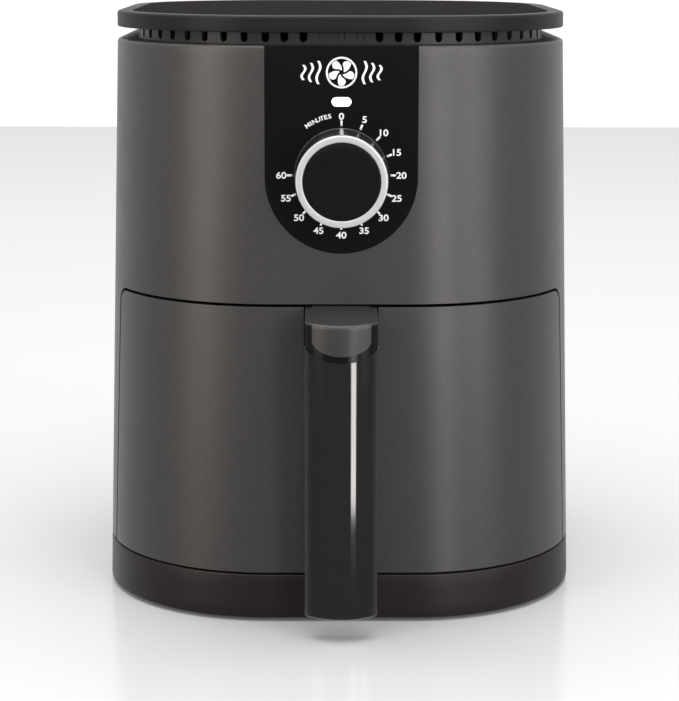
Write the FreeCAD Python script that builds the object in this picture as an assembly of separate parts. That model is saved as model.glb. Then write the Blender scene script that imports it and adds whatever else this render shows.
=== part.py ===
# A compact drawer air fryer, modelled as the separate pieces it comes apart into.
# Frame: millimetres, +Z up, -Y towards the cook; the origin is on the worktop, under the middle of the box.
# Each function returns one sub-part; the table at the end names them and writes one STEP file for each.
import FreeCAD, Part
import math
import os

V = FreeCAD.Vector
X, Y, Z = V(1, 0, 0), V(0, 1, 0), V(0, 0, 1)

# ---- Body envelope -------------------------------------------------------------------------------
BODY_WIDTH = 206.0          # at the worktop, side to side
BODY_DEPTH = 232.0          # at the worktop, front face to rear face
CORNER_RADIUS = 72.0        # vertical corners of the body, the same at every height
DRAFT = 0.027               # how far each wall leans in, per millimetre of height
SHELL_WALL = 2.8            # moulded outer shell
SEAM = 0.9                  # visible joint line between outer mouldings
SLIP = 0.2                  # clearance between pieces that sit inside one another
FIT = 0.1                   # clearance between pieces that are clamped together

# ---- Heights above the worktop -------------------------------------------------------------------
FOOT_HEIGHT = 1.5
BAND_TOP = 20.4
DRAWER_TOP = 133.8
SHOULDER = 240.0
LID_BOTTOM = 245.0
LID_TOP = 251.7
DRAWER_BOTTOM = BAND_TOP + SEAM
BAY_GAP = 1.2               # joint line between the drawer front and the shell

# ---- Handle --------------------------------------------------------------------------------------
HANDLE_WIDTH = 29.6
HANDLE_REACH = 28.0         # from the body's front face to the handle's foremost line
HANDLE_BOTTOM = 9.8
HANDLE_DEPTH = 11.5         # front to back of the upright grip
SHELF_STEP = 0.6            # the arm stands this far over the drawer's top edge
HANDLE_SHELF = DRAWER_TOP + SHELF_STEP
SHELF_FALL = 2.5            # the arm's top drops this far on its way to the fold
HANDLE_FOLD = HANDLE_SHELF - SHELF_FALL
FOLD_RADIUS = 1.8
HANDLE_CROWN = 6.0          # how far the middle of the grip stands in front of its edges
ARM_DEPTH = 24.0            # height of the arm that joins the grip to the drawer
ARM_FILLET = 7.0
HANDLE_SCREW_X = 12.0
COVER_WALL = 2.0            # the glossy cover on the grip
COVER_DROP = 17.1           # from the drawer's top edge to the lowest point of the cover's upper edge
COVER_TOP = DRAWER_TOP - COVER_DROP
COVER_SAG = 7.0             # how much higher that edge ends at the sides
TONGUE_WIDTH = 23.6
TONGUE_WALL = 2.2
COVER_TO_TONGUE = 2.7       # the dark line left between cover and thumb plate
TONGUE_BOTTOM = COVER_TOP + COVER_TO_TONGUE
TONGUE_SAG = 6.0

# ---- Exhaust hood at the back --------------------------------------------------------------------
HOOD_REACH = 20.0           # behind the lid's rear edge
HOOD_WIDTH = 94.0
HOOD_BOTTOM = 186.0
HOOD_TOP = 251.0
HOOD_WALL = 2.4
HOOD_CORNER = 9.0
HOOD_SCREW_X = 36.0
LID_OVERHANG = 0.1          # the lid stands this far outside the body's shoulder

LID_HALF_X = BODY_WIDTH / 2 - DRAFT * LID_BOTTOM + LID_OVERHANG
LID_HALF_Y = BODY_DEPTH / 2 - DRAFT * LID_BOTTOM + LID_OVERHANG
REAR_REACH = LID_HALF_Y + HOOD_REACH                       # hood's rear face behind the body's middle
BODY_Y = (BODY_DEPTH / 2 + HANDLE_REACH - REAR_REACH) / 2  # the body's middle, so that the box is centred
FRONT = BODY_Y - BODY_DEPTH / 2                            # the body's front face at the worktop
HANDLE_FRONT = FRONT - HANDLE_REACH

# ---- Vent ring under the lid ---------------------------------------------------------------------
RING_INSET = 9.3            # from the shoulder's edge to the ring's outer face
RING_WALL = 2.0
RING_FLANGE = 4.0
RING_BOTTOM = 234.6
DECK = 2.6                  # the shell's flat shoulder
SLOT_WIDTH = 3.1
SLOT_LOW = 240.7
SLOT_HIGH = 246.6
SLOT_PITCH = 7.72           # along the straight runs
SLOT_STEP = 8.1             # degrees, round the corners
SLOT_FIRST_STEP = 5.8
BLIND_SLOTS = 1             # this many each side of the middle of the front are only marked
BLIND_DEPTH = 0.5
BLIND_LINE = 0.35

# ---- Lid -----------------------------------------------------------------------------------------
LID_WALL = 2.4
LID_ROUND = 1.2
LID_PANEL_INSET = 6.5
LID_PANEL_THICK = 1.4
LID_PANEL_POCKET = 1.0
LID_PANEL_GAP = 0.45

# ---- Control panel, lamp and knob ----------------------------------------------------------------
PANEL_WIDTH = 62.4
PANEL_BOTTOM = 155.9
PANEL_POCKET = 1.4
PANEL_PROUD = 0.15
KNOB_Z = 187.9
KNOB_FACE = 24.0            # the knob's face in front of the panel
KNOB_GAP = 0.9              # under the knob's skirt
KNOB_BASE_RADIUS = 19.1
KNOB_FACE_RADIUS = 18.3
RING_INNER_RADIUS = 15.6
RING_DEPTH = 3.0
RING_ROUND = 1.0
KNOB_WALL = 2.0
CAP_THICK = 1.6
CAP_SUNK = 0.5
POINTER_WIDTH = 1.7
POINTER_PROUD = 0.25
SHAFT_RADIUS = 3.0
SHAFT_FLAT = 2.2            # from the shaft's axis to its flat
SHAFT_CLEARANCE = 0.05
HUB_RADIUS = 6.0
HUB_LENGTH = 13.0
HUB_SUNK = 2.5              # the hub starts this far inside the skirt
HUB_END_GAP = 1.0           # between the shaft's tip and the bore's end
SHAFT_HOLE_RADIUS = 4.0
LAMP_Z = 217.5
LAMP_LENGTH = 7.4
LAMP_HEIGHT = 4.0
LAMP_FLANGE = 1.2

# ---- Timer ---------------------------------------------------------------------------------------
TIMER_SIZE = 44.0
TIMER_DEPTH = 27.0
TIMER_PLATE = 1.5
TIMER_PLATE_WIDTH = 56.0
TIMER_STANDOFF = 4.0        # shell's inner face to the timer's plate
TIMER_SCREW_SPACING = 50.0
TERMINAL_WIDTH = 4.8
BELL_RADIUS = 15.0

# ---- Drawer --------------------------------------------------------------------------------------
WRAP_DEPTH = 49.5           # the drawer front wraps round the corners this far behind the front face
DRAWER_CORNER = 6.0         # its upper rear corners, seen from the side
DRAWER_WALL = 2.4
CARRIER_WALL = 2.2
BASKET_FRONT = 24.0         # behind the body's front face
BASKET_REAR_GAP = 13.0      # from the basket's back to the chamber's
BASKET_SIDE_GAP = 2.0       # from the rim to the bay's mouth
BASKET_LOW = 26.0
RIM_DROP = 14.3             # from the drawer's top edge down to the rim
BASKET_HIGH = DRAWER_TOP - RIM_DROP
BASKET_TAPER = 2.5
BASKET_CORNER = 24.0
BASKET_WALL = 1.2
BASKET_FLOOR_ROUND = 7.0
BASKET_RIM = 3.0
BASKET_RIM_THICK = 1.6
BASKET_CLEAR = 1.2          # round the basket inside the carrier
CRISPER_Z = 35.0
CRISPER_THICK = 1.5
CRISPER_GAP = 4.5           # from the plate's edge to the basket's wall
CRISPER_HOLE = 3.0          # radius
CRISPER_PITCH = 14.0
CRISPER_RIM = 3.0
BUMPER_LENGTH = 16.0
BUMPER_HEIGHT = 8.0
BUMPER_THICK = 3.0
BUMPER_CLEAR = 0.5
LEG_RADIUS = 3.5
LEG_INSET = 22.0            # from the plate's edges

# ---- Hot chamber ---------------------------------------------------------------------------------
SHEET = 0.8                 # chamber's sheet steel
CHAMBER_SIDE_GAP = 20.0     # air space between the chamber and the body's side
CHAMBER_REAR_GAP = 31.0
CHAMBER_HALF_WIDTH = BODY_WIDTH / 2 - CHAMBER_SIDE_GAP
CHAMBER_BACK = BODY_DEPTH - CHAMBER_REAR_GAP    # behind the body's front face
CHAMBER_LOW = 22.4
CHAMBER_RISE = 15.7         # from the drawer's top edge to the chamber's roof
CHAMBER_HIGH = DRAWER_TOP + CHAMBER_RISE
CHAMBER_FLANGE = 5.0
CHAMBER_CORNER = 26.0       # its upright rear corners
FRAME_WALL = 2.4            # moulded frame round the drawer's bay
BAY_LIP = 2.0               # the frame's mouth is this much narrower than the chamber
BAY_HALF_WIDTH = CHAMBER_HALF_WIDTH - BAY_LIP
BAY_LOW = 24.4
BAY_RISE = 0.1
BAY_HIGH = DRAWER_TOP + BAY_RISE
BASKET_HALF_WIDTH = BAY_HALF_WIDTH - BASKET_SIDE_GAP - BASKET_RIM
BASKET_BACK = CHAMBER_BACK - BASKET_REAR_GAP
FAN_TO_REAR = 70.0          # from the fan's axis to the chamber's back
FAN_Y = CHAMBER_BACK - FAN_TO_REAR              # behind the body's front face
DOME_RADIUS = 66.0
DOME_HEIGHT = 34.0
DOME_HIGH = CHAMBER_HIGH + DOME_HEIGHT
DOME_FLANGE = 3.0
GUARD_RADIUS = 62.0
GUARD_WIRE = 1.2
GUARD_RINGS = 4
COIL_OVER_ROOF = 9.0
COIL_Z = CHAMBER_HIGH + COIL_OVER_ROOF
COIL_TUBE = 3.3             # radius
COIL_OUTER = 57.0
COIL_PITCH = 11.0
COIL_SWEEP = 300.0          # degrees
COIL_LEG_BEND = 7.0
COIL_LEG_OUT = 12.0         # how far its ends stand out of the dome
COIL_LEG_TOP = DOME_HIGH + COIL_LEG_OUT
COIL_BUSH = 5.0

# ---- Fan and motor -------------------------------------------------------------------------------
ROTOR_RADIUS = 2.5
FAN_RADIUS = 40.0
FAN_UNDER_DOME = 16.0       # from the dome's roof down to the fan's lower face
FAN_LOW = DOME_HIGH - FAN_UNDER_DOME
FAN_HEIGHT = 11.0
FAN_BLADES = 8
BLADE_THICK = 0.9
FAN_HUB = 7.0
MOTOR_RADIUS = 25.0
MOTOR_OVER_DOME = 12.0
MOTOR_LOW = DOME_HIGH + MOTOR_OVER_DOME
MOTOR_HEIGHT = 24.0
MOTOR_BOSS = 7.0
BRIDGE_HALF_LENGTH = 52.0
BRIDGE_HALF_WIDTH = 15.0
BRIDGE_THICK = 1.5
IMPELLER_RADIUS = 34.0
IMPELLER_GAP = 3.0          # over the motor
IMPELLER_LOW = MOTOR_LOW + MOTOR_HEIGHT + IMPELLER_GAP
IMPELLER_HEIGHT = 9.0
ROTOR_BELOW, ROTOR_ABOVE = 3.0, 1.0             # the shaft's ends past the fan and the impeller
ROTOR_LOW = FAN_LOW - ROTOR_BELOW
ROTOR_HIGH = IMPELLER_LOW + IMPELLER_HEIGHT + ROTOR_ABOVE
IMPELLER_BLADES = 12

# ---- Base ----------------------------------------------------------------------------------------
BAND_WALL = 2.6
BAND_DECK = 1.8
PLATE_THICK = 2.4
PLATE_RECESS = 0.4
FOOT_RADIUS = 8.0
FOOT_SEAT = 1.2
FOOT_X, FOOT_Y = 62.0, 76.0
BOSS_RADIUS = 4.5
SCREW_RADIUS = 1.5
SCREW_HEAD = 3.2
SCREW_HEAD_HIGH = 2.0
BOSS_X, BOSS_Y = 40.0, 88.0
LIP_HEIGHT = 7.0
LIP_WALL = 1.6

# ---- Mains inlet, drawer switch, catch and wiring ------------------------------------------------
GLAND_Z = 42.0
GLAND_BORE = 3.7
GLAND_BODY = 6.4
GLAND_FLANGE = 9.5
GLAND_FLANGE_THICK = 2.6
GLAND_TAIL = 6.0
SWITCH_BESIDE_BAY = 7.5
SWITCH_X = BAY_HALF_WIDTH + SWITCH_BESIDE_BAY
SWITCH_BELOW_TOP = 12.3     # from the drawer's top edge
SWITCH_Z = DRAWER_TOP - SWITCH_BELOW_TOP
SWITCH_WIDTH, SWITCH_DEPTH, SWITCH_TALL = 6.4, 16.0, 20.0
PLUNGER_RADIUS = 1.5
PLUNGER_CLEARANCE = 0.08
PLUNGER_TOUCH = 0.3         # from the pressed plunger to the drawer's back
CATCH_WIDTH = 12.0
CATCH_THICK = 0.6
CATCH_BUMP = 1.6
WIRE_RADIUS = 1.1

DISC = 0.001                # how far a cutting tool runs past a face that it shares


# ---- Shapes that several pieces use --------------------------------------------------------------
def box(x0, x1, y0, y1, z0, z1):
    """A block between two corners."""
    return Part.makeBox(x1 - x0, y1 - y0, z1 - z0, V(x0, y0, z0))


def rod(radius, start, end):
    """A cylinder from one point to another."""
    return Part.makeCylinder(radius, (end - start).Length, start, end - start)


def rounded_wire(half_x, half_y, radius, z, y_middle=None):
    """A rectangle with round corners, level at height z."""
    cy = BODY_Y if y_middle is None else y_middle
    r = max(radius, 0.5)
    edges = []
    corners = [(1, -1, -90), (1, 1, 0), (-1, 1, 90), (-1, -1, 180)]
    points = []
    for sx, sy, start in corners:
        centre = V(sx * (half_x - r), cy + sy * (half_y - r), z)
        arc = [centre + V(math.cos(math.radians(start + a)), math.sin(math.radians(start + a)), 0) * r
               for a in (0, 45, 90)]
        points.append(arc)
    for i, arc in enumerate(points):
        edges.append(Part.Arc(*arc).toShape())
        following = points[(i + 1) % 4][0]
        if (following - arc[2]).Length > 1e-6:
            edges.append(Part.LineSegment(arc[2], following).toShape())
    return Part.Wire(edges)


def slab(half_x, half_y, radius, z0, z1, y_middle=None):
    """A straight-sided rounded block."""
    face = Part.Face(rounded_wire(half_x, half_y, radius, z0, y_middle))
    return face.extrude(Z * (z1 - z0))


def body_wire(z, inset=0.0):
    """The body's outline at height z, moved in by inset."""
    lean = DRAFT * z + inset
    return rounded_wire(BODY_WIDTH / 2 - lean, BODY_DEPTH / 2 - lean, CORNER_RADIUS - inset, z)


def body(z0, z1, inset=0.0):
    """The solid inside the leaning body walls, between two heights."""
    return Part.makeLoft([body_wire(z0, inset), body_wire(z1, inset)], True, True)


def front_at(z, inset=0.0):
    """Y of the front wall's face at height z."""
    return FRONT + DRAFT * z + inset


def rear_at(z, inset=0.0):
    """Y of the rear wall's face at height z."""
    return FRONT + BODY_DEPTH - DRAFT * z - inset


def side_profile(points, x0, x1):
    """A closed outline in the side view, given as (y, z) points, carried from x0 to x1."""
    wire = Part.makePolygon([V(x0, y, z) for y, z in points + points[:1]])
    return Part.Face(wire).extrude(X * (x1 - x0))


def bay_tool(clear):
    """Everything in front of the drawer's rear edge and under its top edge, grown by clear.

    Its upper rear corner is round, seen from the side.
    """
    back, top, r = FRONT + WRAP_DEPTH + clear, DRAWER_TOP + clear, DRAWER_CORNER + clear
    far, low, wide = FRONT - 80, -10, BODY_WIDTH
    bend = V(0, back - r, top - r)
    arc = [bend + V(0, math.cos(math.radians(a)), math.sin(math.radians(a))) * r for a in (0, 45, 90)]
    edges = [
        Part.LineSegment(V(0, far, low), V(0, back, low)).toShape(),
        Part.LineSegment(V(0, back, low), arc[0]).toShape(),
        Part.Arc(*arc).toShape(),
        Part.LineSegment(arc[2], V(0, far, top)).toShape(),
        Part.LineSegment(V(0, far, top), V(0, far, low)).toShape(),
    ]
    solid = Part.Face(Part.Wire(edges)).extrude(X * 2 * wide)
    solid.translate(X * -wide)
    return solid


def arch(half_width, low, high, y0, y1):
    """A prism along Y whose front view is a U: straight sides on a half circle."""
    middle = low + half_width
    edges = [
        Part.LineSegment(V(-half_width, y0, high), V(-half_width, y0, middle)).toShape(),
        Part.Arc(V(-half_width, y0, middle), V(0, y0, low), V(half_width, y0, middle)).toShape(),
        Part.LineSegment(V(half_width, y0, middle), V(half_width, y0, high)).toShape(),
        Part.LineSegment(V(half_width, y0, high), V(-half_width, y0, high)).toShape(),
    ]
    return Part.Face(Part.Wire(edges)).extrude(Y * (y1 - y0))


def obround(length, height, x, z, y0, y1):
    """A prism along Y whose front view is a level slot with round ends."""
    r = height / 2
    half = length / 2 - r
    flat = box(x - half, x + half, y0, y1, z - r, z + r)
    ends = [Part.makeCylinder(r, y1 - y0, V(x + s * half, y0, z), Y) for s in (-1, 1)]
    return flat.fuse(ends).removeSplitter()


def sagging_tool(half_width, low, sag, high, y0, y1):
    """A prism along Y over a shallow curve that is lowest in the middle: what lies above the curve."""
    edges = [
        Part.Arc(V(-half_width, y0, low + sag), V(0, y0, low), V(half_width, y0, low + sag)).toShape(),
        Part.LineSegment(V(half_width, y0, low + sag), V(half_width, y0, high)).toShape(),
        Part.LineSegment(V(half_width, y0, high), V(-half_width, y0, high)).toShape(),
        Part.LineSegment(V(-half_width, y0, high), V(-half_width, y0, low + sag)).toShape(),
    ]
    return Part.Face(Part.Wire(edges)).extrude(Y * (y1 - y0))


def turned(profile, centre, axis=Z):
    """A solid of revolution about Z or Y from (radius, height) points."""
    wire = Part.makePolygon([V(r, 0, h) for r, h in profile + profile[:1]])
    solid = Part.Face(wire).revolve(V(0, 0, 0), Z, 360)
    if axis == Y:
        solid.rotate(V(0, 0, 0), X, -90)
    solid.translate(centre)
    return solid


def tube_along(edges, radius):
    """A round tube along a tangent path."""
    path = Part.Wire(edges)
    start = path.Vertexes[0].Point
    direction = edges[0].tangentAt(edges[0].FirstParameter)
    ring = Part.Wire(Part.Circle(start, direction, radius).toShape())
    return path.makePipeShell([ring], True, False)


def rounded_path(points, radius):
    """Straight runs through the points, joined by arcs of one radius."""
    edges, here = [], points[0]
    for before, corner, after in zip(points, points[1:], points[2:]):
        a, b = (before - corner).normalize(), (after - corner).normalize()
        turn = math.pi - a.getAngle(b)
        cut = radius * math.tan(turn / 2)
        bisector = (a + b).normalize()
        middle = corner + bisector * (math.hypot(radius, cut) - radius)
        edges.append(Part.LineSegment(here, corner + a * cut).toShape())
        edges.append(Part.Arc(corner + a * cut, middle, corner + b * cut).toShape())
        here = corner + b * cut
    edges.append(Part.LineSegment(here, points[-1]).toShape())
    return edges


def screw(tip, head, radius=SCREW_RADIUS):
    """A pan-head screw from its tip to the underside of its head."""
    way = (head - tip).normalize()
    body_of_screw = rod(radius, tip, head)
    cap = rod(SCREW_HEAD, head, head + way * SCREW_HEAD_HIGH)
    slot_a = Part.makeBox(SCREW_HEAD, 0.8, 1.2, V(-SCREW_HEAD / 2, -0.4, 0))
    slot_b = Part.makeBox(0.8, SCREW_HEAD, 1.2, V(-0.4, -SCREW_HEAD / 2, 0))
    cross = slot_a.fuse(slot_b)
    cross.Placement = FreeCAD.Placement(head + way * (SCREW_HEAD_HIGH - 0.9), FreeCAD.Rotation(Z, way))
    return body_of_screw.fuse(cap).cut(cross).removeSplitter()


def group(solids):
    """Separate solids of one node."""
    return Part.makeCompound(solids)


def mirrored(solid):
    """The same piece on the other side of the middle plane."""
    return solid.mirror(V(0, 0, 0), X)


# ---- Base ----------------------------------------------------------------------------------------
def boss_places():
    """Where the four base screws stand."""
    return [(sx * BOSS_X, BODY_Y + sy * BOSS_Y) for sx in (-1, 1) for sy in (-1, 1)]


def foot_places():
    """Where the four feet stand."""
    return [(sx * FOOT_X, BODY_Y + sy * FOOT_Y) for sx in (-1, 1) for sy in (-1, 1)]


def base_plate_low():
    """Height of the bottom cover's underside."""
    return FOOT_HEIGHT + PLATE_RECESS


def base_band():
    """The dark band at the foot: wall, closed deck and a lip that locates the shell behind the drawer."""
    solid = body(FOOT_HEIGHT, BAND_TOP).cut(body(FOOT_HEIGHT - 1, BAND_TOP - BAND_DECK, BAND_WALL))
    rise = BAND_TOP + LIP_HEIGHT
    lip_inset = SHELL_WALL + SLIP
    lip = body(BAND_TOP - DISC, rise, lip_inset).cut(body(BAND_TOP - 1, rise + 1, lip_inset + LIP_WALL))
    lip = lip.cut(bay_tool(BAY_GAP + FRAME_WALL + SLIP))
    rear = rear_at(GLAND_Z)
    lip = lip.cut(rod(GLAND_BODY + 2, V(0, rear - 20, GLAND_Z), V(0, rear, GLAND_Z)))
    bosses = []
    low = base_plate_low() + PLATE_THICK
    for x, y in boss_places():
        bosses.append(rod(BOSS_RADIUS, V(x, y, low), V(x, y, BAND_TOP - BAND_DECK + DISC)))
    solid = solid.fuse([lip] + bosses)
    for x, y in boss_places():
        solid = solid.cut(rod(SCREW_RADIUS + FIT, V(x, y, low - 1), V(x, y, BAND_TOP - BAND_DECK - 1)))
    return solid.removeSplitter()


def base_plate():
    """The bottom cover inside the band, with foot seats and screw holes."""
    low = base_plate_low()
    solid = body(low, low + PLATE_THICK, BAND_WALL + SLIP)
    for x, y in foot_places():
        solid = solid.cut(rod(FOOT_RADIUS + FIT, V(x, y, low - 1), V(x, y, low + FOOT_SEAT)))
    for x, y in boss_places():
        solid = solid.cut(rod(SCREW_RADIUS + FIT, V(x, y, low - 1), V(x, y, low + PLATE_THICK + 1)))
        solid = solid.cut(rod(SCREW_HEAD + 2 * FIT, V(x, y, low - 1), V(x, y, low + PLATE_THICK / 2)))
    vents = [box(-20, 20, BODY_Y + y - 1.5, BODY_Y + y + 1.5, low - 1, low + 5) for y in range(-30, 31, 10)]
    return solid.cut(group(vents)).removeSplitter()


def rubber_feet():
    """Four round feet pressed into the base plate."""
    top = base_plate_low() + FOOT_SEAT
    feet = []
    for x, y in foot_places():
        foot = rod(FOOT_RADIUS, V(x, y, 0), V(x, y, top))
        rim = [e for e in foot.Edges if abs(e.CenterOfMass.z) < 0.01 and e.Length > 1]
        feet.append(foot.makeFillet(0.5, rim))
    return group(feet)


def base_screws():
    """Four screws from below through the base plate into the band."""
    head = base_plate_low() + PLATE_THICK / 2
    return group([screw(V(x, y, head + 12), V(x, y, head)) for x, y in boss_places()])


# ---- Outer shell and vent ring -------------------------------------------------------------------
def ring_half():
    """Half sizes and corner radius of the vent ring's outer face."""
    lean = DRAFT * SHOULDER + RING_INSET
    return BODY_WIDTH / 2 - lean, BODY_DEPTH / 2 - lean, CORNER_RADIUS - RING_INSET


def main_shell():
    """The painted one-piece shell: walls, flat shoulder and the open front for the drawer."""
    solid = body(DRAWER_BOTTOM, SHOULDER).cut(body(DRAWER_BOTTOM - 1, SHOULDER - DECK, SHELL_WALL))
    hx, hy, r = ring_half()
    solid = solid.cut(slab(hx + SLIP, hy + SLIP, r + SLIP, SHOULDER - DECK - 1, SHOULDER + 1))
    solid = solid.cut(bay_tool(BAY_GAP))
    front, rear = front_at(KNOB_Z), rear_at(HOOD_BOTTOM)
    pocket = arch(PANEL_WIDTH / 2 + SLIP / 2, PANEL_BOTTOM - SLIP / 2, SHOULDER + 1, front - 10, front + 10)
    solid = solid.cut(pocket.cut(body(PANEL_BOTTOM - 5, SHOULDER + 5, PANEL_POCKET)))
    solid = solid.cut(rod(SHAFT_HOLE_RADIUS, V(0, front - 5, KNOB_Z), V(0, front + 9, KNOB_Z)))
    solid = solid.cut(lamp_tool(FIT, front - 5, front + 9))
    for s in (-1, 1):
        x = s * TIMER_SCREW_SPACING / 2
        hole = rod(SCREW_RADIUS + FIT, V(x, front - 5, KNOB_Z), V(x, front + 9, KNOB_Z))
        solid = solid.cut(hole)
    solid = solid.cut(box(-30, 30, rear - 12, rear + 4, HOOD_BOTTOM + 12, SHOULDER - DECK - 4))
    gland = rear_at(GLAND_Z)
    solid = solid.cut(rod(GLAND_BODY + FIT, V(0, gland - 8, GLAND_Z), V(0, gland + 4, GLAND_Z)))
    for x in (-HOOD_SCREW_X, HOOD_SCREW_X):
        z = HOOD_BOTTOM + 6
        solid = solid.cut(rod(SCREW_RADIUS + FIT, V(x, rear - 16, z), V(x, rear + 6, z)))
    return solid.removeSplitter()


def slot_places(half_x, half_y, radius):
    """Centre point and outward direction of every slot, as (x, y, nx, ny, index), round the ring."""
    run_x, run_y = half_x - radius, half_y - radius
    places = []
    count = int(run_x // SLOT_PITCH)
    for n in range(-count, count + 1):
        places.append((n * SLOT_PITCH, -half_y, 0.0, -1.0, n))
        places.append((n * SLOT_PITCH, half_y, 0.0, 1.0, None))
    rows = int(run_y // SLOT_PITCH)
    for n in range(-rows, rows + 1):
        for s in (-1, 1):
            places.append((s * half_x, n * SLOT_PITCH, s, 0.0, None))
    steps = int((90 - SLOT_FIRST_STEP) // SLOT_STEP)
    for k in range(steps + 1):
        a = math.radians(SLOT_FIRST_STEP + k * SLOT_STEP)
        for sx in (-1, 1):
            for sy in (-1, 1):
                nx, ny = sx * math.sin(a), sy * math.cos(a)
                places.append((sx * run_x + nx * radius, sy * run_y + ny * radius, nx, ny, None))
    return places


def slot_tool(width, low, high, depth):
    """A round-ended upright slot, pointing along +X from the origin's wall."""
    r = width / 2
    straight = box(-depth, depth, -r, r, low + r, high - r)
    ends = [Part.makeCylinder(r, 2 * depth, V(-depth, 0, z), X) for z in (low + r, high - r)]
    return straight.fuse(ends).removeSplitter()


def placed(tool, x, y, nx, ny):
    """The tool turned to face outwards at a place on the ring."""
    copy = tool.copy()
    copy.rotate(V(0, 0, 0), Z, math.degrees(math.atan2(ny, nx)))
    copy.translate(V(x, BODY_Y + y, 0))
    return copy


def vent_ring():
    """The slotted hoop between shoulder and lid; the middle front slots are only outlined."""
    hx, hy, r = ring_half()
    top = LID_TOP - LID_WALL - SLIP
    inner = (hx - RING_WALL, hy - RING_WALL, r - RING_WALL)
    solid = slab(hx, hy, r, RING_BOTTOM, top).cut(slab(*inner, RING_BOTTOM - 1, top + 1))
    flange_top = SHOULDER - DECK - SLIP
    flange = slab(hx + RING_FLANGE, hy + RING_FLANGE, r + RING_FLANGE, RING_BOTTOM, flange_top)
    solid = solid.fuse(flange.cut(slab(*inner, RING_BOTTOM - 1, flange_top + 1)))
    through = slot_tool(SLOT_WIDTH, SLOT_LOW, SLOT_HIGH, 2 * RING_WALL)
    groove = slot_tool(SLOT_WIDTH, SLOT_LOW, SLOT_HIGH, BLIND_DEPTH).cut(
        slot_tool(SLOT_WIDTH - 2 * BLIND_LINE, SLOT_LOW + BLIND_LINE, SLOT_HIGH - BLIND_LINE, 1))
    tools = []
    for x, y, nx, ny, index in slot_places(hx, hy, r):
        blind = index is not None and abs(index) <= BLIND_SLOTS
        tools.append(placed(groove if blind else through, x, y, nx, ny))
    return solid.cut(tools).removeSplitter()


def lid_rim_wire_solid(inset, z0, z1):
    """The lid's straight outline, moved in by inset."""
    radius = CORNER_RADIUS + LID_OVERHANG - inset
    return slab(LID_HALF_X - inset, LID_HALF_Y - inset, radius, z0, z1)


def lid():
    """The black cap: a rim, a top plate and a shallow pocket for the top panel."""
    outer = lid_rim_wire_solid(0, LID_BOTTOM, LID_TOP)
    edges = [e for e in outer.Edges if abs(e.CenterOfMass.z - LID_TOP) < 0.01]
    outer = outer.makeFillet(LID_ROUND, edges)
    solid = outer.cut(lid_rim_wire_solid(LID_WALL, LID_BOTTOM - 1, LID_TOP - LID_WALL))
    pocket = lid_rim_wire_solid(LID_PANEL_INSET, LID_TOP - LID_PANEL_POCKET, LID_TOP + 1)
    return solid.cut(pocket).removeSplitter()


def lid_panel():
    """The inset panel on the lid, with a fine groove round it."""
    low = LID_TOP - LID_PANEL_POCKET + DISC
    solid = lid_rim_wire_solid(LID_PANEL_INSET + LID_PANEL_GAP, low, low + LID_PANEL_THICK)
    edges = [e for e in solid.Edges if abs(e.CenterOfMass.z - low - LID_PANEL_THICK) < 0.01]
    return solid.makeFillet(0.3, edges)


# ---- Exhaust hood --------------------------------------------------------------------------------
def hood_block(inset, y1, z0, z1):
    """The hood's outer block, rounded at its rear upright corners, from inside the body out to y1."""
    half = HOOD_WIDTH / 2 - inset
    depth = y1 - (FRONT + BODY_DEPTH - 60)
    middle = y1 - depth / 2
    return slab(half, depth / 2, max(HOOD_CORNER - inset, 1), z0, z1, middle)


def rear_face():
    """Y of the hood's rear face."""
    return BODY_Y + REAR_REACH


def rear_hood():
    """The exhaust hood on the back, open to the shell's window."""
    outer = hood_block(0, rear_face(), HOOD_BOTTOM, HOOD_TOP)
    inner = hood_block(HOOD_WALL, rear_face() - HOOD_WALL, HOOD_BOTTOM + HOOD_WALL, HOOD_TOP - HOOD_WALL)
    solid = outer.cut(inner)
    solid = solid.cut(body(HOOD_BOTTOM - 5, SHOULDER + SLIP, -SLIP))
    solid = solid.cut(lid_rim_wire_solid(-2 * SLIP, SHOULDER, HOOD_TOP + 2))
    half, low, high = grille_window()
    solid = solid.cut(box(-half, half, rear_face() - 9, rear_face() + 1, low, high))
    for s in (-1, 1):
        x, z = s * HOOD_SCREW_X, HOOD_BOTTOM + 6
        reach = rear_at(z)
        ear = rod(BOSS_RADIUS, V(x, reach - 12, z), V(x, rear_face() - HOOD_WALL + DISC, z))
        ear = ear.cut(body(HOOD_BOTTOM - 5, SHOULDER, -SLIP))
        solid = solid.fuse(ear)
        solid = solid.cut(rod(SCREW_RADIUS + FIT, V(x, reach - 14, z), V(x, reach + 12, z)))
    return solid.removeSplitter()


def grille_window():
    """Half width, low and high edge of the hood's outlet."""
    return HOOD_WIDTH / 2 - 9, HOOD_BOTTOM + 15, HOOD_TOP - 9


def rear_grille():
    """The louvred insert in the hood's outlet."""
    half, low, high = grille_window()
    half, low, high = half - SLIP, low + SLIP, high - SLIP
    back = rear_face() - 0.4
    frame = box(-half, half, back - 3, back, low, high).cut(box(-half + 2, half - 2, back - 4, back + 1,
                                                                low + 2, high - 2))
    slats = []
    count = 7
    pitch = (high - low - 4) / count
    for n in range(count):
        z = low + 2 + pitch * (n + 0.5)
        slat = box(-half + 1, half - 1, back - 3, back - 0.2, z - 0.7, z + 0.7)
        slat.rotate(V(0, back - 1.6, z), X, -30)
        slats.append(slat.common(box(-half, half, back - 3, back, low, high)))
    post = box(-0.8, 0.8, back - 2.6, back - 0.6, low + 1, high - 1)
    return frame.fuse(slats + [post]).removeSplitter()


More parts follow.
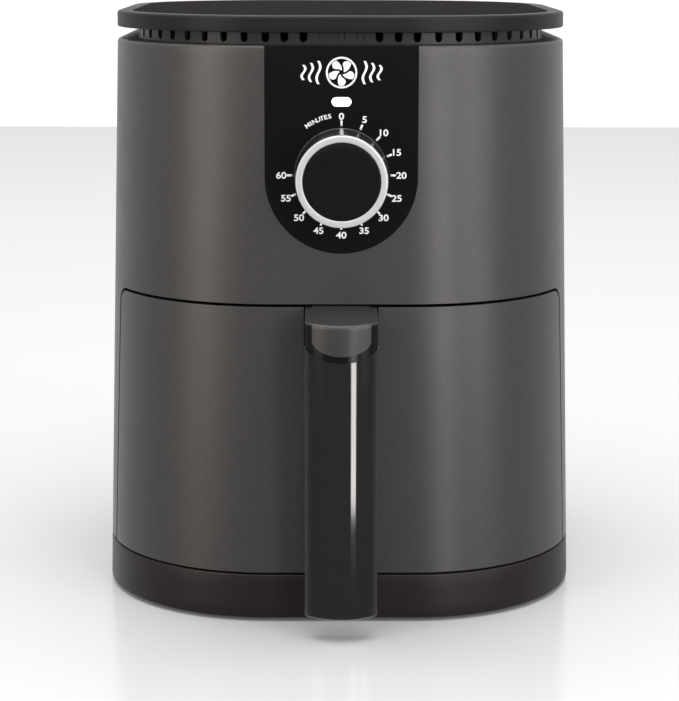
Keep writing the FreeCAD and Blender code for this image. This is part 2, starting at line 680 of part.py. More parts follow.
def hood_screws():
    """Two screws from inside the shell into the hood."""
    made = []
    z = HOOD_BOTTOM + 6
    centre_x = BODY_WIDTH / 2 - DRAFT * z - CORNER_RADIUS
    centre_y = rear_at(z) - CORNER_RADIUS
    rim = HOOD_SCREW_X + SCREW_HEAD - centre_x
    face = centre_y + math.sqrt((CORNER_RADIUS - SHELL_WALL) ** 2 - rim ** 2) - FIT
    for x in (-HOOD_SCREW_X, HOOD_SCREW_X):
        made.append(screw(V(x, face + 10, z), V(x, face, z)))
    return group(made)


# ---- Control panel, lamp, knob and timer ---------------------------------------------------------
def lamp_tool(grow, y0, y1):
    """The lamp window's pill shape, grown all round and carried along Y."""
    return obround(LAMP_LENGTH + 2 * grow, LAMP_HEIGHT + 2 * grow, 0, LAMP_Z, y0, y1)


def control_panel():
    """The glossy black facia in the shell's pocket, with holes for the shaft and the lamp."""
    front = front_at(KNOB_Z)
    outline = arch(PANEL_WIDTH / 2 - SLIP / 2, PANEL_BOTTOM + SLIP / 2, SHOULDER, front - 10, front + 10)
    skin = body(PANEL_BOTTOM - 5, SHOULDER, -PANEL_PROUD).cut(
        body(PANEL_BOTTOM - 6, SHOULDER + 1, PANEL_POCKET - DISC))
    solid = skin.common(outline)
    solid = solid.cut(rod(SHAFT_HOLE_RADIUS, V(0, front - 9, KNOB_Z), V(0, front + 9, KNOB_Z)))
    return solid.cut(lamp_tool(0, front - 9, front + 9)).removeSplitter()


def indicator_lens():
    """The light window: a pill-shaped light guide with a flange behind the shell."""
    face = front_at(LAMP_Z) - PANEL_PROUD - 0.15
    back = front_at(LAMP_Z, SHELL_WALL) + FIT
    pill = lamp_tool(-FIT, face, back + LAMP_FLANGE)
    flange = lamp_tool(1.5, back + FIT, back + LAMP_FLANGE)
    return pill.fuse(flange).removeSplitter()


def indicator_board():
    """The lamp's small circuit board with its light source."""
    back = front_at(LAMP_Z, SHELL_WALL) + FIT + LAMP_FLANGE
    board = box(-10, 10, back + 3, back + 4.6, LAMP_Z - 7, LAMP_Z + 7)
    lamp = box(-1.8, 1.8, back + 0.4, back + 3 + DISC, LAMP_Z - 1.4, LAMP_Z + 1.4)
    posts = [rod(1.2, V(x, front_at(LAMP_Z, SHELL_WALL) + 3 * FIT, LAMP_Z), V(x, back + 3 + DISC, LAMP_Z))
             for x in (-8, 8)]
    return board.fuse([lamp] + posts).removeSplitter()


def knob_span():
    """Y of the knob's skirt and of its face."""
    panel = front_at(KNOB_Z) - PANEL_PROUD
    return panel - KNOB_GAP, panel - KNOB_FACE


def knob_body():
    """The black moulded knob: a tapered cup with a bored hub."""
    base, face = knob_span()
    length = base - face
    lip = length - RING_DEPTH
    slope = (KNOB_BASE_RADIUS - KNOB_FACE_RADIUS) / length
    shoulder = KNOB_BASE_RADIUS - slope * lip
    pocket = length - CAP_THICK - CAP_SUNK
    cup = turned([(0, HUB_SUNK), (HUB_RADIUS, HUB_SUNK), (HUB_RADIUS, pocket - KNOB_WALL),
                  (RING_INNER_RADIUS - KNOB_WALL, pocket - KNOB_WALL), (KNOB_BASE_RADIUS - KNOB_WALL, 0),
                  (KNOB_BASE_RADIUS, 0), (shoulder, lip), (RING_INNER_RADIUS, lip),
                  (RING_INNER_RADIUS, pocket), (0, pocket)], V(0, 0, 0))
    bore = Part.makeCylinder(SHAFT_RADIUS + SHAFT_CLEARANCE, HUB_LENGTH, V(0, 0, HUB_SUNK))
    bore = bore.cut(box(-9, 9, SHAFT_FLAT + SHAFT_CLEARANCE, 9, 0, 30))
    cup = cup.cut(bore).cut(pointer_block(length, 0.0))
    return knob_placed(cup, base)


def pointer_block(length, grow):
    """The pointer's bar on the top of the knob, with the knob's axis along +Z and its top along -Y."""
    half = POINTER_WIDTH / 2 + grow
    slope = (KNOB_BASE_RADIUS - KNOB_FACE_RADIUS) / length
    outer, inner = KNOB_BASE_RADIUS + POINTER_PROUD, KNOB_BASE_RADIUS - 0.8
    points = [V(-half, -outer, 0), V(-half, -inner, 0), V(-half, -inner + slope * length, length - 1),
              V(-half, -outer + slope * length, length - 1)]
    face = Part.Face(Part.makePolygon(points + points[:1]))
    return face.extrude(X * 2 * half)


def knob_placed(solid, base):
    """Turns a knob piece made along +Z to face -Y, its pointer side up, at the knob's place."""
    solid.rotate(V(0, 0, 0), X, 90)
    solid.rotate(V(0, 0, 0), Y, 180)
    solid.translate(V(0, base, KNOB_Z))
    return solid


def knob_ring():
    """The bright ring round the face, with the pointer line down the knob's side."""
    base, face = knob_span()
    length = base - face
    lip = length - RING_DEPTH
    slope = (KNOB_BASE_RADIUS - KNOB_FACE_RADIUS) / length
    shoulder = KNOB_BASE_RADIUS - slope * lip
    ring = turned([(RING_INNER_RADIUS + FIT / 2, lip), (shoulder, lip), (KNOB_FACE_RADIUS, length),
                   (RING_INNER_RADIUS + FIT / 2, length)], V(0, 0, 0))
    face_edges = [e for e in ring.Edges if abs(e.CenterOfMass.z - length) < 0.01]
    rim = [e for e in face_edges if e.Length > 6 * KNOB_FACE_RADIUS]
    ring = ring.makeFillet(RING_ROUND, rim)
    bar = pointer_block(length, -FIT / 2)
    bar = bar.cut(Part.makeCylinder(RING_INNER_RADIUS + FIT, length, V(0, 0, lip - DISC)))
    return knob_placed(ring.fuse(bar).removeSplitter(), base)


def knob_cap():
    """The glossy disc in the knob's face."""
    base, face = knob_span()
    length = base - face
    low = length - CAP_THICK - CAP_SUNK + DISC
    cap = Part.makeCylinder(RING_INNER_RADIUS - FIT, CAP_THICK, V(0, 0, low))
    rim = [e for e in cap.Edges if abs(e.CenterOfMass.z - low - CAP_THICK) < 0.01 and e.Length > 9]
    return knob_placed(cap.makeFillet(0.4, rim), base)


def timer_plate_y():
    """Y of the front face of the timer's mounting plate."""
    return front_at(KNOB_Z, SHELL_WALL) + TIMER_STANDOFF


def timer_shaft():
    """The timer's spindle with a flat for the knob."""
    base, _ = knob_span()
    tip = base - HUB_SUNK - HUB_LENGTH + HUB_END_GAP
    end = timer_plate_y() + TIMER_PLATE + 3
    shaft = rod(SHAFT_RADIUS, V(0, tip, KNOB_Z), V(0, end, KNOB_Z))
    flat = box(-9, 9, tip - 1, base - 2, KNOB_Z - 9, KNOB_Z - SHAFT_FLAT)
    return shaft.cut(flat)


def timer_plate():
    """The sheet-steel bracket that holds the timer behind the panel."""
    y = timer_plate_y()
    half = TIMER_PLATE_WIDTH / 2
    solid = box(-half, half, y, y + TIMER_PLATE, KNOB_Z - TIMER_SIZE / 2, KNOB_Z + TIMER_SIZE / 2)
    solid = solid.cut(rod(SHAFT_RADIUS + 0.5, V(0, y - 1, KNOB_Z), V(0, y + 9, KNOB_Z)))
    for s in (-1, 1):
        x = s * TIMER_SCREW_SPACING / 2
        tube = rod(3.4, V(x, front_at(KNOB_Z, SHELL_WALL) + 2 * FIT, KNOB_Z), V(x, y + DISC, KNOB_Z))
        solid = solid.fuse(tube).cut(rod(SCREW_RADIUS + FIT, V(x, y - 9, KNOB_Z), V(x, y + 9, KNOB_Z)))
    return solid.removeSplitter()


def timer_screws():
    """Two screws through the shell's pocket, under the facia, into the bracket."""
    made = []
    head, tip = front_at(KNOB_Z, PANEL_POCKET) + 4 * FIT, timer_plate_y() + TIMER_PLATE + 2
    for s in (-1, 1):
        x = s * TIMER_SCREW_SPACING / 2
        made.append(rod(SCREW_RADIUS, V(x, head, KNOB_Z), V(x, tip, KNOB_Z)))
    return group(made)


def timer_case():
    """The clockwork timer's can with its two blade terminals."""
    y = timer_plate_y() + TIMER_PLATE + FIT
    half = TIMER_SIZE / 2
    low, high = KNOB_Z - half, KNOB_Z + half
    can = box(-half, half, y, y + TIMER_DEPTH, low, high)
    upright = [e for e in can.Edges if abs(e.tangentAt(e.FirstParameter).y) > 0.99]
    can = can.makeFillet(4, upright)
    can = can.cut(rod(SHAFT_RADIUS + 0.1, V(0, y - 1, KNOB_Z), V(0, y + 3.5, KNOB_Z)))
    for s in (-1, 1):
        x = s * TIMER_SCREW_SPACING / 2
        can = can.cut(rod(3.4, V(x, y - 1, KNOB_Z), V(x, y + 5, KNOB_Z)))
        edge = s * 12 - TERMINAL_WIDTH / 2
        blade = box(edge, edge + TERMINAL_WIDTH, y + 12, y + 12.8, low - 7, low + 1)
        can = can.fuse(blade)
    return can.removeSplitter()


def timer_bell():
    """The timer's end-of-cooking bell, a shallow dome on the back of the can."""
    y = timer_plate_y() + TIMER_PLATE + FIT + TIMER_DEPTH
    dome = turned([(0, 2), (BELL_RADIUS - 4, 2), (BELL_RADIUS - 1, 0.4), (BELL_RADIUS, 0.4),
                   (BELL_RADIUS, 1.2), (BELL_RADIUS - 3.6, 3), (0, 3)], V(0, 0, 0))
    post = Part.makeCylinder(2, 2.2, V(0, 0, 0.1))
    solid = dome.fuse(post).removeSplitter()
    solid.rotate(V(0, 0, 0), X, -90)
    solid.translate(V(0, y, KNOB_Z))
    return solid


# ---- Drawer --------------------------------------------------------------------------------------
def notch_tool(grow):
    """The notch in the drawer's skin for the handle's arm."""
    half = HANDLE_WIDTH / 2 + grow
    return box(-half, half, FRONT - 30, FRONT + 14, DRAWER_TOP - ARM_DEPTH - grow, DRAWER_TOP + 5)


def drawer_front():
    """The painted drawer skin that wraps round both front corners."""
    solid = body(DRAWER_BOTTOM, DRAWER_TOP).cut(body(DRAWER_BOTTOM - 1, DRAWER_TOP + 1, DRAWER_WALL))
    return solid.common(bay_tool(0)).cut(notch_tool(2 * SLIP)).removeSplitter()


def basket_wire(z, inset=0.0):
    """The basket's outline, a little narrower towards its floor."""
    share = (BASKET_HIGH - z) / (BASKET_HIGH - BASKET_LOW)
    lean = BASKET_TAPER * share + inset
    half_y = (BASKET_BACK - BASKET_FRONT) / 2 - lean
    middle = FRONT + (BASKET_BACK + BASKET_FRONT) / 2
    return rounded_wire(BASKET_HALF_WIDTH - lean, half_y, BASKET_CORNER - inset, z, middle)


def basket_solid(z0, z1, inset=0.0):
    """The space inside the basket's outline between two heights."""
    return Part.makeLoft([basket_wire(z0, inset), basket_wire(z1, inset)], True, True)


def rounded_floor(solid, z, radius):
    """The solid with its lowest edges rounded."""
    edges = [e for e in solid.Edges if abs(e.BoundBox.ZMax - z) < 0.01 and abs(e.BoundBox.ZMin - z) < 0.01]
    return solid.makeFillet(radius, edges)


def basket():
    """The non-stick pan with a turned-out rim."""
    outer = rounded_floor(basket_solid(BASKET_LOW, BASKET_HIGH), BASKET_LOW, BASKET_FLOOR_ROUND)
    floor = BASKET_LOW + BASKET_WALL
    inner = rounded_floor(basket_solid(floor, BASKET_HIGH + 1, BASKET_WALL), floor,
                          BASKET_FLOOR_ROUND - BASKET_WALL)
    low = BASKET_HIGH - BASKET_RIM_THICK
    middle = FRONT + (BASKET_BACK + BASKET_FRONT) / 2
    half_y = (BASKET_BACK - BASKET_FRONT) / 2
    rim = slab(BASKET_HALF_WIDTH + BASKET_RIM, half_y + BASKET_RIM, BASKET_CORNER + BASKET_RIM, low,
               BASKET_HIGH, middle)
    rim_edges = [e for e in rim.Edges if abs(e.CenterOfMass.z - BASKET_HIGH) < 0.01]
    rim = rim.makeFillet(0.7, rim_edges)
    solid = outer.fuse(rim).cut(inner)
    for x, z in handle_screw_places():
        solid = solid.cut(rod(SCREW_RADIUS + FIT, V(x, FRONT, z), V(x, FRONT + BASKET_FRONT + 9, z)))
    return solid.removeSplitter()


def basket_envelope(grow):
    """The space that the basket and its rim take, open upwards."""
    middle = FRONT + (BASKET_BACK + BASKET_FRONT) / 2
    half_y = (BASKET_BACK - BASKET_FRONT) / 2
    wide = BASKET_RIM + grow
    return slab(BASKET_HALF_WIDTH + wide, half_y + wide, BASKET_CORNER + wide, BASKET_LOW - grow,
                DRAWER_TOP + 5, middle)


def drawer_carrier():
    """The moulded inner frame: closes the skin's back, carries the basket, takes the handle's screws."""
    inset = DRAWER_WALL + SLIP
    low, high = BAND_TOP + 0.5, DRAWER_TOP - 0.6
    outer = body(low, high, inset).common(bay_tool(0))
    core = body(low + CARRIER_WALL, high - CARRIER_WALL, inset + CARRIER_WALL)
    core = core.common(bay_tool(-CARRIER_WALL))
    solid = outer.cut(core)
    wall = basket_envelope(BASKET_CLEAR + CARRIER_WALL).common(outer)
    solid = solid.fuse(wall).cut(basket_envelope(BASKET_CLEAR))
    half, seat = HANDLE_WIDTH / 2 + 4, FRONT + BASKET_FRONT - BASKET_CLEAR - BASKET_RIM
    block = box(-half, half, FRONT, seat, DRAWER_TOP - ARM_DEPTH - 8, high)
    solid = solid.fuse(block.common(outer))
    solid = solid.cut(arm_tool(SLIP))
    for x, z in handle_screw_places():
        solid = solid.cut(rod(SCREW_RADIUS + FIT, V(x, FRONT - 5, z), V(x, FRONT + 40, z)))
    return solid.removeSplitter()


def handle_screw_places():
    """Front view places of the two handle screws, below the basket's rim."""
    z = BASKET_HIGH - 6
    return [(s * HANDLE_SCREW_X, z) for s in (-1, 1)]


def crisper_half():
    """Half sizes and corner radius of the crisper plate."""
    share = (BASKET_HIGH - CRISPER_Z) / (BASKET_HIGH - BASKET_LOW)
    lean = BASKET_TAPER * share + BASKET_WALL + CRISPER_GAP
    return BASKET_HALF_WIDTH - lean, (BASKET_BACK - BASKET_FRONT) / 2 - lean, BASKET_CORNER - BASKET_WALL


def crisper_plate():
    """The perforated plate that holds food off the basket's floor, on four short legs."""
    hx, hy, r = crisper_half()
    middle = FRONT + (BASKET_BACK + BASKET_FRONT) / 2
    top = CRISPER_Z + CRISPER_THICK
    solid = slab(hx, hy, r, CRISPER_Z, top, middle)
    edge = slab(hx, hy, r, CRISPER_Z - CRISPER_RIM, top, middle)
    edge = edge.cut(slab(hx - 1.5, hy - 1.5, r - 1.5, CRISPER_Z - CRISPER_RIM - 1, top + 1, middle))
    floor = BASKET_LOW + BASKET_WALL
    leg_x, leg_y = hx - LEG_INSET, hy - LEG_INSET
    legs = [rod(LEG_RADIUS, V(sx * leg_x, middle + sy * leg_y, floor + DISC),
                V(sx * leg_x, middle + sy * leg_y, CRISPER_Z + DISC)) for sx in (-1, 1) for sy in (-1, 1)]
    solid = solid.fuse([edge] + legs)
    holes = []
    nx, ny = int((hx - 9) // CRISPER_PITCH), int((hy - 9) // CRISPER_PITCH)
    for i in range(-nx, nx + 1):
        for j in range(-ny, ny + 1):
            x, y = i * CRISPER_PITCH, j * CRISPER_PITCH
            in_corner = abs(x) > hx - r and abs(y) > hy - r
            on_leg = math.hypot(abs(x) - leg_x, abs(y) - leg_y) < LEG_RADIUS + CRISPER_HOLE + 1
            if in_corner and math.hypot(abs(x) - hx + r, abs(y) - hy + r) > r - 7 or on_leg:
                continue
            holes.append(Part.makeCylinder(CRISPER_HOLE, 9, V(x, middle + y, CRISPER_Z - 4)))
    return solid.cut(holes).removeSplitter()


def crisper_bumpers():
    """Four silicone edge clips that keep the plate from rattling."""
    hx, hy, _ = crisper_half()
    middle = FRONT + (BASKET_BACK + BASKET_FRONT) / 2
    low = CRISPER_Z + CRISPER_THICK / 2 - BUMPER_HEIGHT / 2
    reach = CRISPER_GAP - BUMPER_CLEAR - 1.2
    clip = box(-BUMPER_LENGTH / 2, BUMPER_LENGTH / 2, 0, BUMPER_THICK + reach, low, low + BUMPER_HEIGHT)
    outer = [e for e in clip.Edges if abs(e.CenterOfMass.y - BUMPER_THICK - reach) < 0.01]
    clip = clip.makeFillet(1.2, outer)
    mouth = box(-BUMPER_LENGTH, BUMPER_LENGTH, -1, BUMPER_THICK + FIT, CRISPER_Z - CRISPER_RIM - FIT,
                CRISPER_Z + CRISPER_THICK + FIT)
    clip = clip.cut(mouth)
    made = []
    for angle, x, y in ((0, 0, hy), (180, 0, -hy), (-90, hx, 0), (90, -hx, 0)):
        copy = clip.copy()
        copy.translate(Y * -BUMPER_THICK)
        copy.rotate(V(0, 0, 0), Z, angle)
        copy.translate(V(x, middle + y, 0))
        made.append(copy)
    return group(made)


# ---- Handle --------------------------------------------------------------------------------------
def grip_section(inset, z):
    """The upright grip's level outline: square at the back, crowned in front, moved in by inset."""
    half = HANDLE_WIDTH / 2 - inset
    edge_y = HANDLE_FRONT + HANDLE_CROWN
    back = HANDLE_FRONT + HANDLE_DEPTH
    crown = HANDLE_FRONT + inset
    edges = [
        Part.Arc(V(-half, edge_y, z), V(0, crown, z), V(half, edge_y, z)).toShape(),
        Part.LineSegment(V(half, edge_y, z), V(half, back, z)).toShape(),
        Part.LineSegment(V(half, back, z), V(-half, back, z)).toShape(),
        Part.LineSegment(V(-half, back, z), V(-half, edge_y, z)).toShape(),
    ]
    return Part.Face(Part.Wire(edges))


def grip(inset, z0, z1):
    """The upright grip between two heights."""
    return grip_section(inset, z0).extrude(Z * (z1 - z0))


def arm_tool(grow):
    """The arm's block from the grip to its seat in the carrier."""
    half = HANDLE_WIDTH / 2 + grow
    return box(-half, half, HANDLE_FRONT + HANDLE_CROWN, FRONT + 12 + grow, DRAWER_TOP - ARM_DEPTH - grow,
               HANDLE_SHELF + grow)


def above_shelf(inset):
    """What lies over the arm's top: it rises towards the drawer and runs level inside the body."""
    y0, y1, y2 = HANDLE_FRONT - 5, front_at(DRAWER_TOP), FRONT + 30
    slope = (HANDLE_SHELF - HANDLE_FOLD) / (y1 - HANDLE_FRONT)
    low = HANDLE_FOLD - 5 * slope - inset
    high = HANDLE_SHELF + 20
    outline = [(y0, low), (y1, HANDLE_SHELF - inset), (y1, DRAWER_TOP - inset), (y2, DRAWER_TOP - inset),
               (y2, high), (y0, high)]
    return side_profile(outline, -HANDLE_WIDTH, HANDLE_WIDTH)


def handle_block(inset):
    """Grip and arm in one: the front and the top moved in by inset, with the fold between them rounded."""
    front = grip(inset, HANDLE_BOTTOM, HANDLE_SHELF)
    half = HANDLE_WIDTH / 2
    edge, back = HANDLE_FRONT + HANDLE_CROWN, HANDLE_FRONT + HANDLE_DEPTH
    trunk = box(-half, half, edge, back, HANDLE_BOTTOM, HANDLE_SHELF)
    solid = front.fuse([trunk, arm_tool(0)]).cut(above_shelf(inset)).removeSplitter()
    high = [e for e in solid.Edges if e.BoundBox.ZMin > HANDLE_FOLD - inset - 1]
    fold = [e for e in high if e.BoundBox.XLength > half and e.BoundBox.YMin < HANDLE_FRONT + inset + 0.5]
    return solid.makeFillet(FOLD_RADIUS, fold)


def handle_outer():
    """The whole handle's outside, with the inner corner under the arm rounded."""
    solid = handle_block(0)
    under = [e for e in solid.Edges if abs(e.CenterOfMass.z - (DRAWER_TOP - ARM_DEPTH)) < 0.01
             and abs(e.CenterOfMass.y - HANDLE_FRONT - HANDLE_DEPTH) < 0.01]
    return solid.makeFillet(ARM_FILLET, under)


def cover_zone(grow):
    """What lies under the cover's sagging upper edge, in front of the grip's back."""
    half = HANDLE_WIDTH / 2 + 5
    y0, y1 = HANDLE_FRONT - 5, HANDLE_FRONT + HANDLE_DEPTH - 3.5 + grow
    block = box(-half, half, y0, y1, HANDLE_BOTTOM - 5, DRAWER_TOP + 5)
    scale = COVER_SAG * (half / (HANDLE_WIDTH / 2)) ** 2
    above = sagging_tool(half, COVER_TOP + grow, scale, DRAWER_TOP + 20, y0 - 1, y1 + 1)
    return block.cut(above)


def tongue_zone(grow):
    """The space of the thumb plate: over the arm's top and down the grip's upper front."""
    half = TONGUE_WIDTH / 2 + grow
    y0, y1 = HANDLE_FRONT - 5, FRONT + 10
    block = box(-half, half, y0, y1, TONGUE_BOTTOM - 20, DRAWER_TOP + 5)
    low, top = TONGUE_BOTTOM - grow, DRAWER_TOP + 9
    below = box(-half - 1, half + 1, y0 - 1, HANDLE_FRONT + HANDLE_DEPTH, low - 30, TONGUE_BOTTOM + 10)
    below = below.cut(sagging_tool(half + DISC, low, TONGUE_SAG, top, y0 - 2, y1 + 2))
    return block.cut(below)


def handle_frame():
    """The handle's black core: arm and grip, cut back where the cover and thumb plate sit."""
    solid = handle_outer()
    core = grip(COVER_WALL + FIT, HANDLE_BOTTOM - 5, HANDLE_SHELF + 5)
    wrap = grip(-5, HANDLE_BOTTOM - 5, HANDLE_SHELF + 5).cut(core)
    solid = solid.cut(wrap.common(cover_zone(FIT)))
    plate = handle_block(0).cut(handle_block(TONGUE_WALL + FIT)).common(tongue_zone(FIT))
    solid = solid.cut(plate)
    for x, z in handle_screw_places():
        solid = solid.cut(rod(SCREW_RADIUS + FIT, V(x, FRONT - 8, z), V(x, FRONT + 40, z)))
    return solid.removeSplitter()


def handle_cover():
    """The glossy cover over the grip's front and sides."""
    wrap = grip(0, HANDLE_BOTTOM, DRAWER_TOP).cut(grip(COVER_WALL, HANDLE_BOTTOM - 1, DRAWER_TOP + 1))
    solid = wrap.common(cover_zone(0))
    low = [e for e in solid.Edges if abs(e.BoundBox.ZMax - HANDLE_BOTTOM) < 0.01
           and e.BoundBox.YMin < HANDLE_FRONT + 0.5 and e.Length > HANDLE_WIDTH]
    outer = sorted(low, key=lambda e: -e.Length)[:1]
    return solid.makeFillet(0.8, outer)


def handle_tongue():
    """The painted thumb plate, bent over the arm's top and down the front."""
    plate = handle_block(0).cut(handle_block(TONGUE_WALL))
    return plate.common(tongue_zone(0)).removeSplitter()


def handle_screws():
    """Two screws from inside the basket, through the carrier, into the handle's arm."""
    made = []
    for x, z in handle_screw_places():
        head = FRONT + BASKET_FRONT + BASKET_WALL + BASKET_TAPER
        made.append(screw(V(x, FRONT - 6, z), V(x, head, z)))
    return group(made)


# ---- Bay frame and hot chamber -------------------------------------------------------------------
def bay_frame():
    """The black frame behind and above the drawer front: a bulkhead with the bay's mouth, and a ceiling."""
    inset = SHELL_WALL + SLIP
    clear = BAY_GAP
    back = FRONT + WRAP_DEPTH + clear
    top = CHAMBER_HIGH + 3
    inside = body(BAND_TOP + SLIP, top, inset)
    outside = bay_tool(clear)
    grown = bay_tool(clear + FRAME_WALL)
    wall = inside.common(grown).cut(outside)
    upper = inside.common(box(-BODY_WIDTH, BODY_WIDTH, back, back + FRAME_WALL, DRAWER_TOP - 12, top))
    solid = wall.fuse(upper)
    solid = solid.cut(box(-BAY_HALF_WIDTH, BAY_HALF_WIDTH, back - 5, back + 9, BAY_LOW, BAY_HIGH))
    radius = PLUNGER_RADIUS + PLUNGER_CLEARANCE
    hole = rod(radius, V(SWITCH_X, back - 5, SWITCH_Z), V(SWITCH_X, back + 9, SWITCH_Z))
    return solid.cut(hole).removeSplitter()


def frame_back():
    """Y of the bulkhead's rear face."""
    return FRONT + WRAP_DEPTH + BAY_GAP + FRAME_WALL


def corner_rounded(block, y, radius):
    """The block with its two upright edges at y rounded."""
    edges = [e for e in block.Edges if abs(e.CenterOfMass.y - y) < 0.01 and e.BoundBox.ZLength > 20]
    return block.makeFillet(radius, edges)


def chamber_liner():
    """The sheet-steel hot box: open in front, a round hole in its roof, an outlet in its back."""
    y0, y1 = frame_back() + FIT, FRONT + CHAMBER_BACK
    hx = CHAMBER_HALF_WIDTH
    outer = corner_rounded(box(-hx, hx, y0, y1, CHAMBER_LOW, CHAMBER_HIGH), y1, CHAMBER_CORNER)
    inner = box(-hx + SHEET, hx - SHEET, y0 - 1, y1 - SHEET, CHAMBER_LOW + SHEET, CHAMBER_HIGH - SHEET)
    solid = outer.cut(corner_rounded(inner, y1 - SHEET, CHAMBER_CORNER - SHEET))
    lip = CHAMBER_FLANGE
    flange = box(-hx - lip, hx + lip, y0, y0 + SHEET, CHAMBER_LOW, CHAMBER_HIGH + 2)
    flange = flange.cut(box(-hx + SHEET, hx - SHEET, y0 - 1, y1, CHAMBER_LOW + SHEET, CHAMBER_HIGH - SHEET))
    flange = flange.cut(box(SWITCH_X - 5, hx + lip + 1, y0 - 1, y0 + 2, SWITCH_Z - 12, SWITCH_Z + 12))
    solid = solid.fuse(flange)
    solid = solid.cut(rod(GUARD_RADIUS, fan_axis(CHAMBER_HIGH - 3), fan_axis(CHAMBER_HIGH + 1)))
    solid = solid.cut(box(-26, 26, y1 - 3, y1 + 1, CHAMBER_HIGH - 26, CHAMBER_HIGH - 6))
    ribs = []
    for s in (-1, 1):
        for z in (60.0, 95.0):
            ribs.append(box(s * hx - 0.6, s * hx + 0.6, y0 + 20, y1 - CHAMBER_CORNER - 4, z - 3, z + 3))
    return solid.fuse(ribs).removeSplitter()


def chamber_rails():
    """Two glide rails on the chamber's floor that the basket runs on."""
    y0, y1 = frame_back() + 6, FRONT + BASKET_BACK - 6
    low = CHAMBER_LOW + SHEET + DISC
    made = []
    for s in (-1, 1):
        x = s * 48
        rail = box(x - 4, x + 4, y0, y1, low, BASKET_LOW - 0.3)
        made.append(rail)
    return group(made)


def element_dome():
    """The inverted steel pan over the chamber that holds the element and the fan."""
    c = V(0, FRONT + FAN_Y, 0)
    low, rim, hole = CHAMBER_HIGH + DISC, DOME_RADIUS + DOME_FLANGE, ROTOR_RADIUS + 3
    solid = turned([(DOME_RADIUS, low), (rim, low), (rim, low + SHEET), (DOME_RADIUS + SHEET, low + SHEET),
                    (DOME_RADIUS + SHEET, DOME_HIGH), (hole, DOME_HIGH), (hole, DOME_HIGH - SHEET),
                    (DOME_RADIUS, DOME_HIGH - SHEET)], c)
    for leg in coil_leg_points():
        solid = solid.cut(rod(COIL_BUSH, V(leg.x, leg.y, DOME_HIGH - 4), V(leg.x, leg.y, DOME_HIGH + 2)))
    return solid.removeSplitter()


def coil_leg_points():
    """Plan places of the element's two upright ends, beside the gap in its rings."""
    made = []
    gap = math.radians((360 - COIL_SWEEP) / 2)
    for radius in (COIL_OUTER, COIL_OUTER - COIL_PITCH):
        a = -math.pi / 2 + gap
        tangent = V(math.sin(a), -math.cos(a), 0)
        centre = V(radius * math.cos(a), FRONT + FAN_Y + radius * math.sin(a), 0)
        made.append(centre + tangent * COIL_LEG_BEND)
    return made


def heating_element():
    """The sheathed element: two concentric rings joined by a hairpin, both ends turned up."""
    c = V(0, FRONT + FAN_Y, COIL_Z)
    gap = math.radians((360 - COIL_SWEEP) / 2)
    first, last = -math.pi / 2 + gap, 3 * math.pi / 2 - gap

    def on(radius, a):
        return c + V(radius * math.cos(a), radius * math.sin(a), 0)

    def leg(radius):
        a = first
        tangent = V(math.sin(a), -math.cos(a), 0)
        start = on(radius, a)
        bend = start + Z * COIL_LEG_BEND
        middle = bend + (tangent - Z) * (COIL_LEG_BEND * math.sqrt(0.5))
        end = bend + tangent * COIL_LEG_BEND
        return start, middle, end

    inner = COIL_OUTER - COIL_PITCH
    mean, mid_a = (COIL_OUTER + inner) / 2, (first + last) / 2
    hairpin = on(mean, last) + V(-math.sin(last), math.cos(last), 0) * (COIL_PITCH / 2)
    s0, m0, e0 = leg(COIL_OUTER)
    s1, m1, e1 = leg(inner)
    top = Z * (COIL_LEG_TOP - e0.z)
    edges = [
        Part.LineSegment(e0 + top, e0).toShape(),
        Part.Arc(e0, m0, s0).toShape(),
        Part.Arc(s0, on(COIL_OUTER, mid_a), on(COIL_OUTER, last)).toShape(),
        Part.Arc(on(COIL_OUTER, last), hairpin, on(inner, last)).toShape(),
        Part.Arc(on(inner, last), on(inner, mid_a), s1).toShape(),
        Part.Arc(s1, m1, e1).toShape(),
        Part.LineSegment(e1, e1 + top).toShape(),
    ]
    return tube_along(edges, COIL_TUBE)


def element_bushes():
    """Ceramic bushes where the element's ends pass through the dome."""
    made = []
    for leg in coil_leg_points():
        low, high = DOME_HIGH - SHEET - 2, DOME_HIGH + 5
        bush = rod(COIL_BUSH - FIT, V(leg.x, leg.y, low), V(leg.x, leg.y, high))
        made.append(bush.cut(rod(COIL_TUBE + FIT, V(leg.x, leg.y, low - 1), V(leg.x, leg.y, high + 1))))
    return group(made)


def element_guard():
    """The wire guard under the element: rings on crossed spokes."""
    c = V(0, FRONT + FAN_Y, CHAMBER_HIGH + 0.9 * GUARD_WIRE + DISC)
    pieces = []
    for n in range(1, GUARD_RINGS + 1):
        pieces.append(Part.makeTorus(GUARD_RADIUS * n / (GUARD_RINGS + 0.25), GUARD_WIRE, c, Z))
    reach = GUARD_RADIUS + 2.5
    for k in range(4):
        a = math.radians(45 * k)
        way = V(math.cos(a), math.sin(a), 0)
        pieces.append(rod(GUARD_WIRE * 0.9, c - way * reach, c + way * reach))
    return pieces[0].fuse(pieces[1:]).removeSplitter()


def exhaust_duct():
    """The duct that carries hot air from the chamber's outlet up to the hood."""
    y0, y1 = FRONT + CHAMBER_BACK + FIT, rear_at(HOOD_TOP, SHELL_WALL) - 0.6
    low, high = CHAMBER_HIGH - 30, SHOULDER - DECK - 4
    solid = box(-32, 32, y0, y1, low, high).cut(box(-30.8, 30.8, y0 + 1.2, y1 - 1.2, low + 1.2, high - 1.2))
    solid = solid.cut(box(-26, 26, y0 - 1, y0 + 2, CHAMBER_HIGH - 26, CHAMBER_HIGH - 6))
    solid = solid.cut(box(-28, 28, y1 - 2, y1 + 1, HOOD_BOTTOM + 14, high - 3))
    return solid.removeSplitter()


# ---- Fan and motor -------------------------------------------------------------------------------
def fan_axis(z):
    """The point of the fan's axis at height z."""
    return V(0, FRONT + FAN_Y, z)


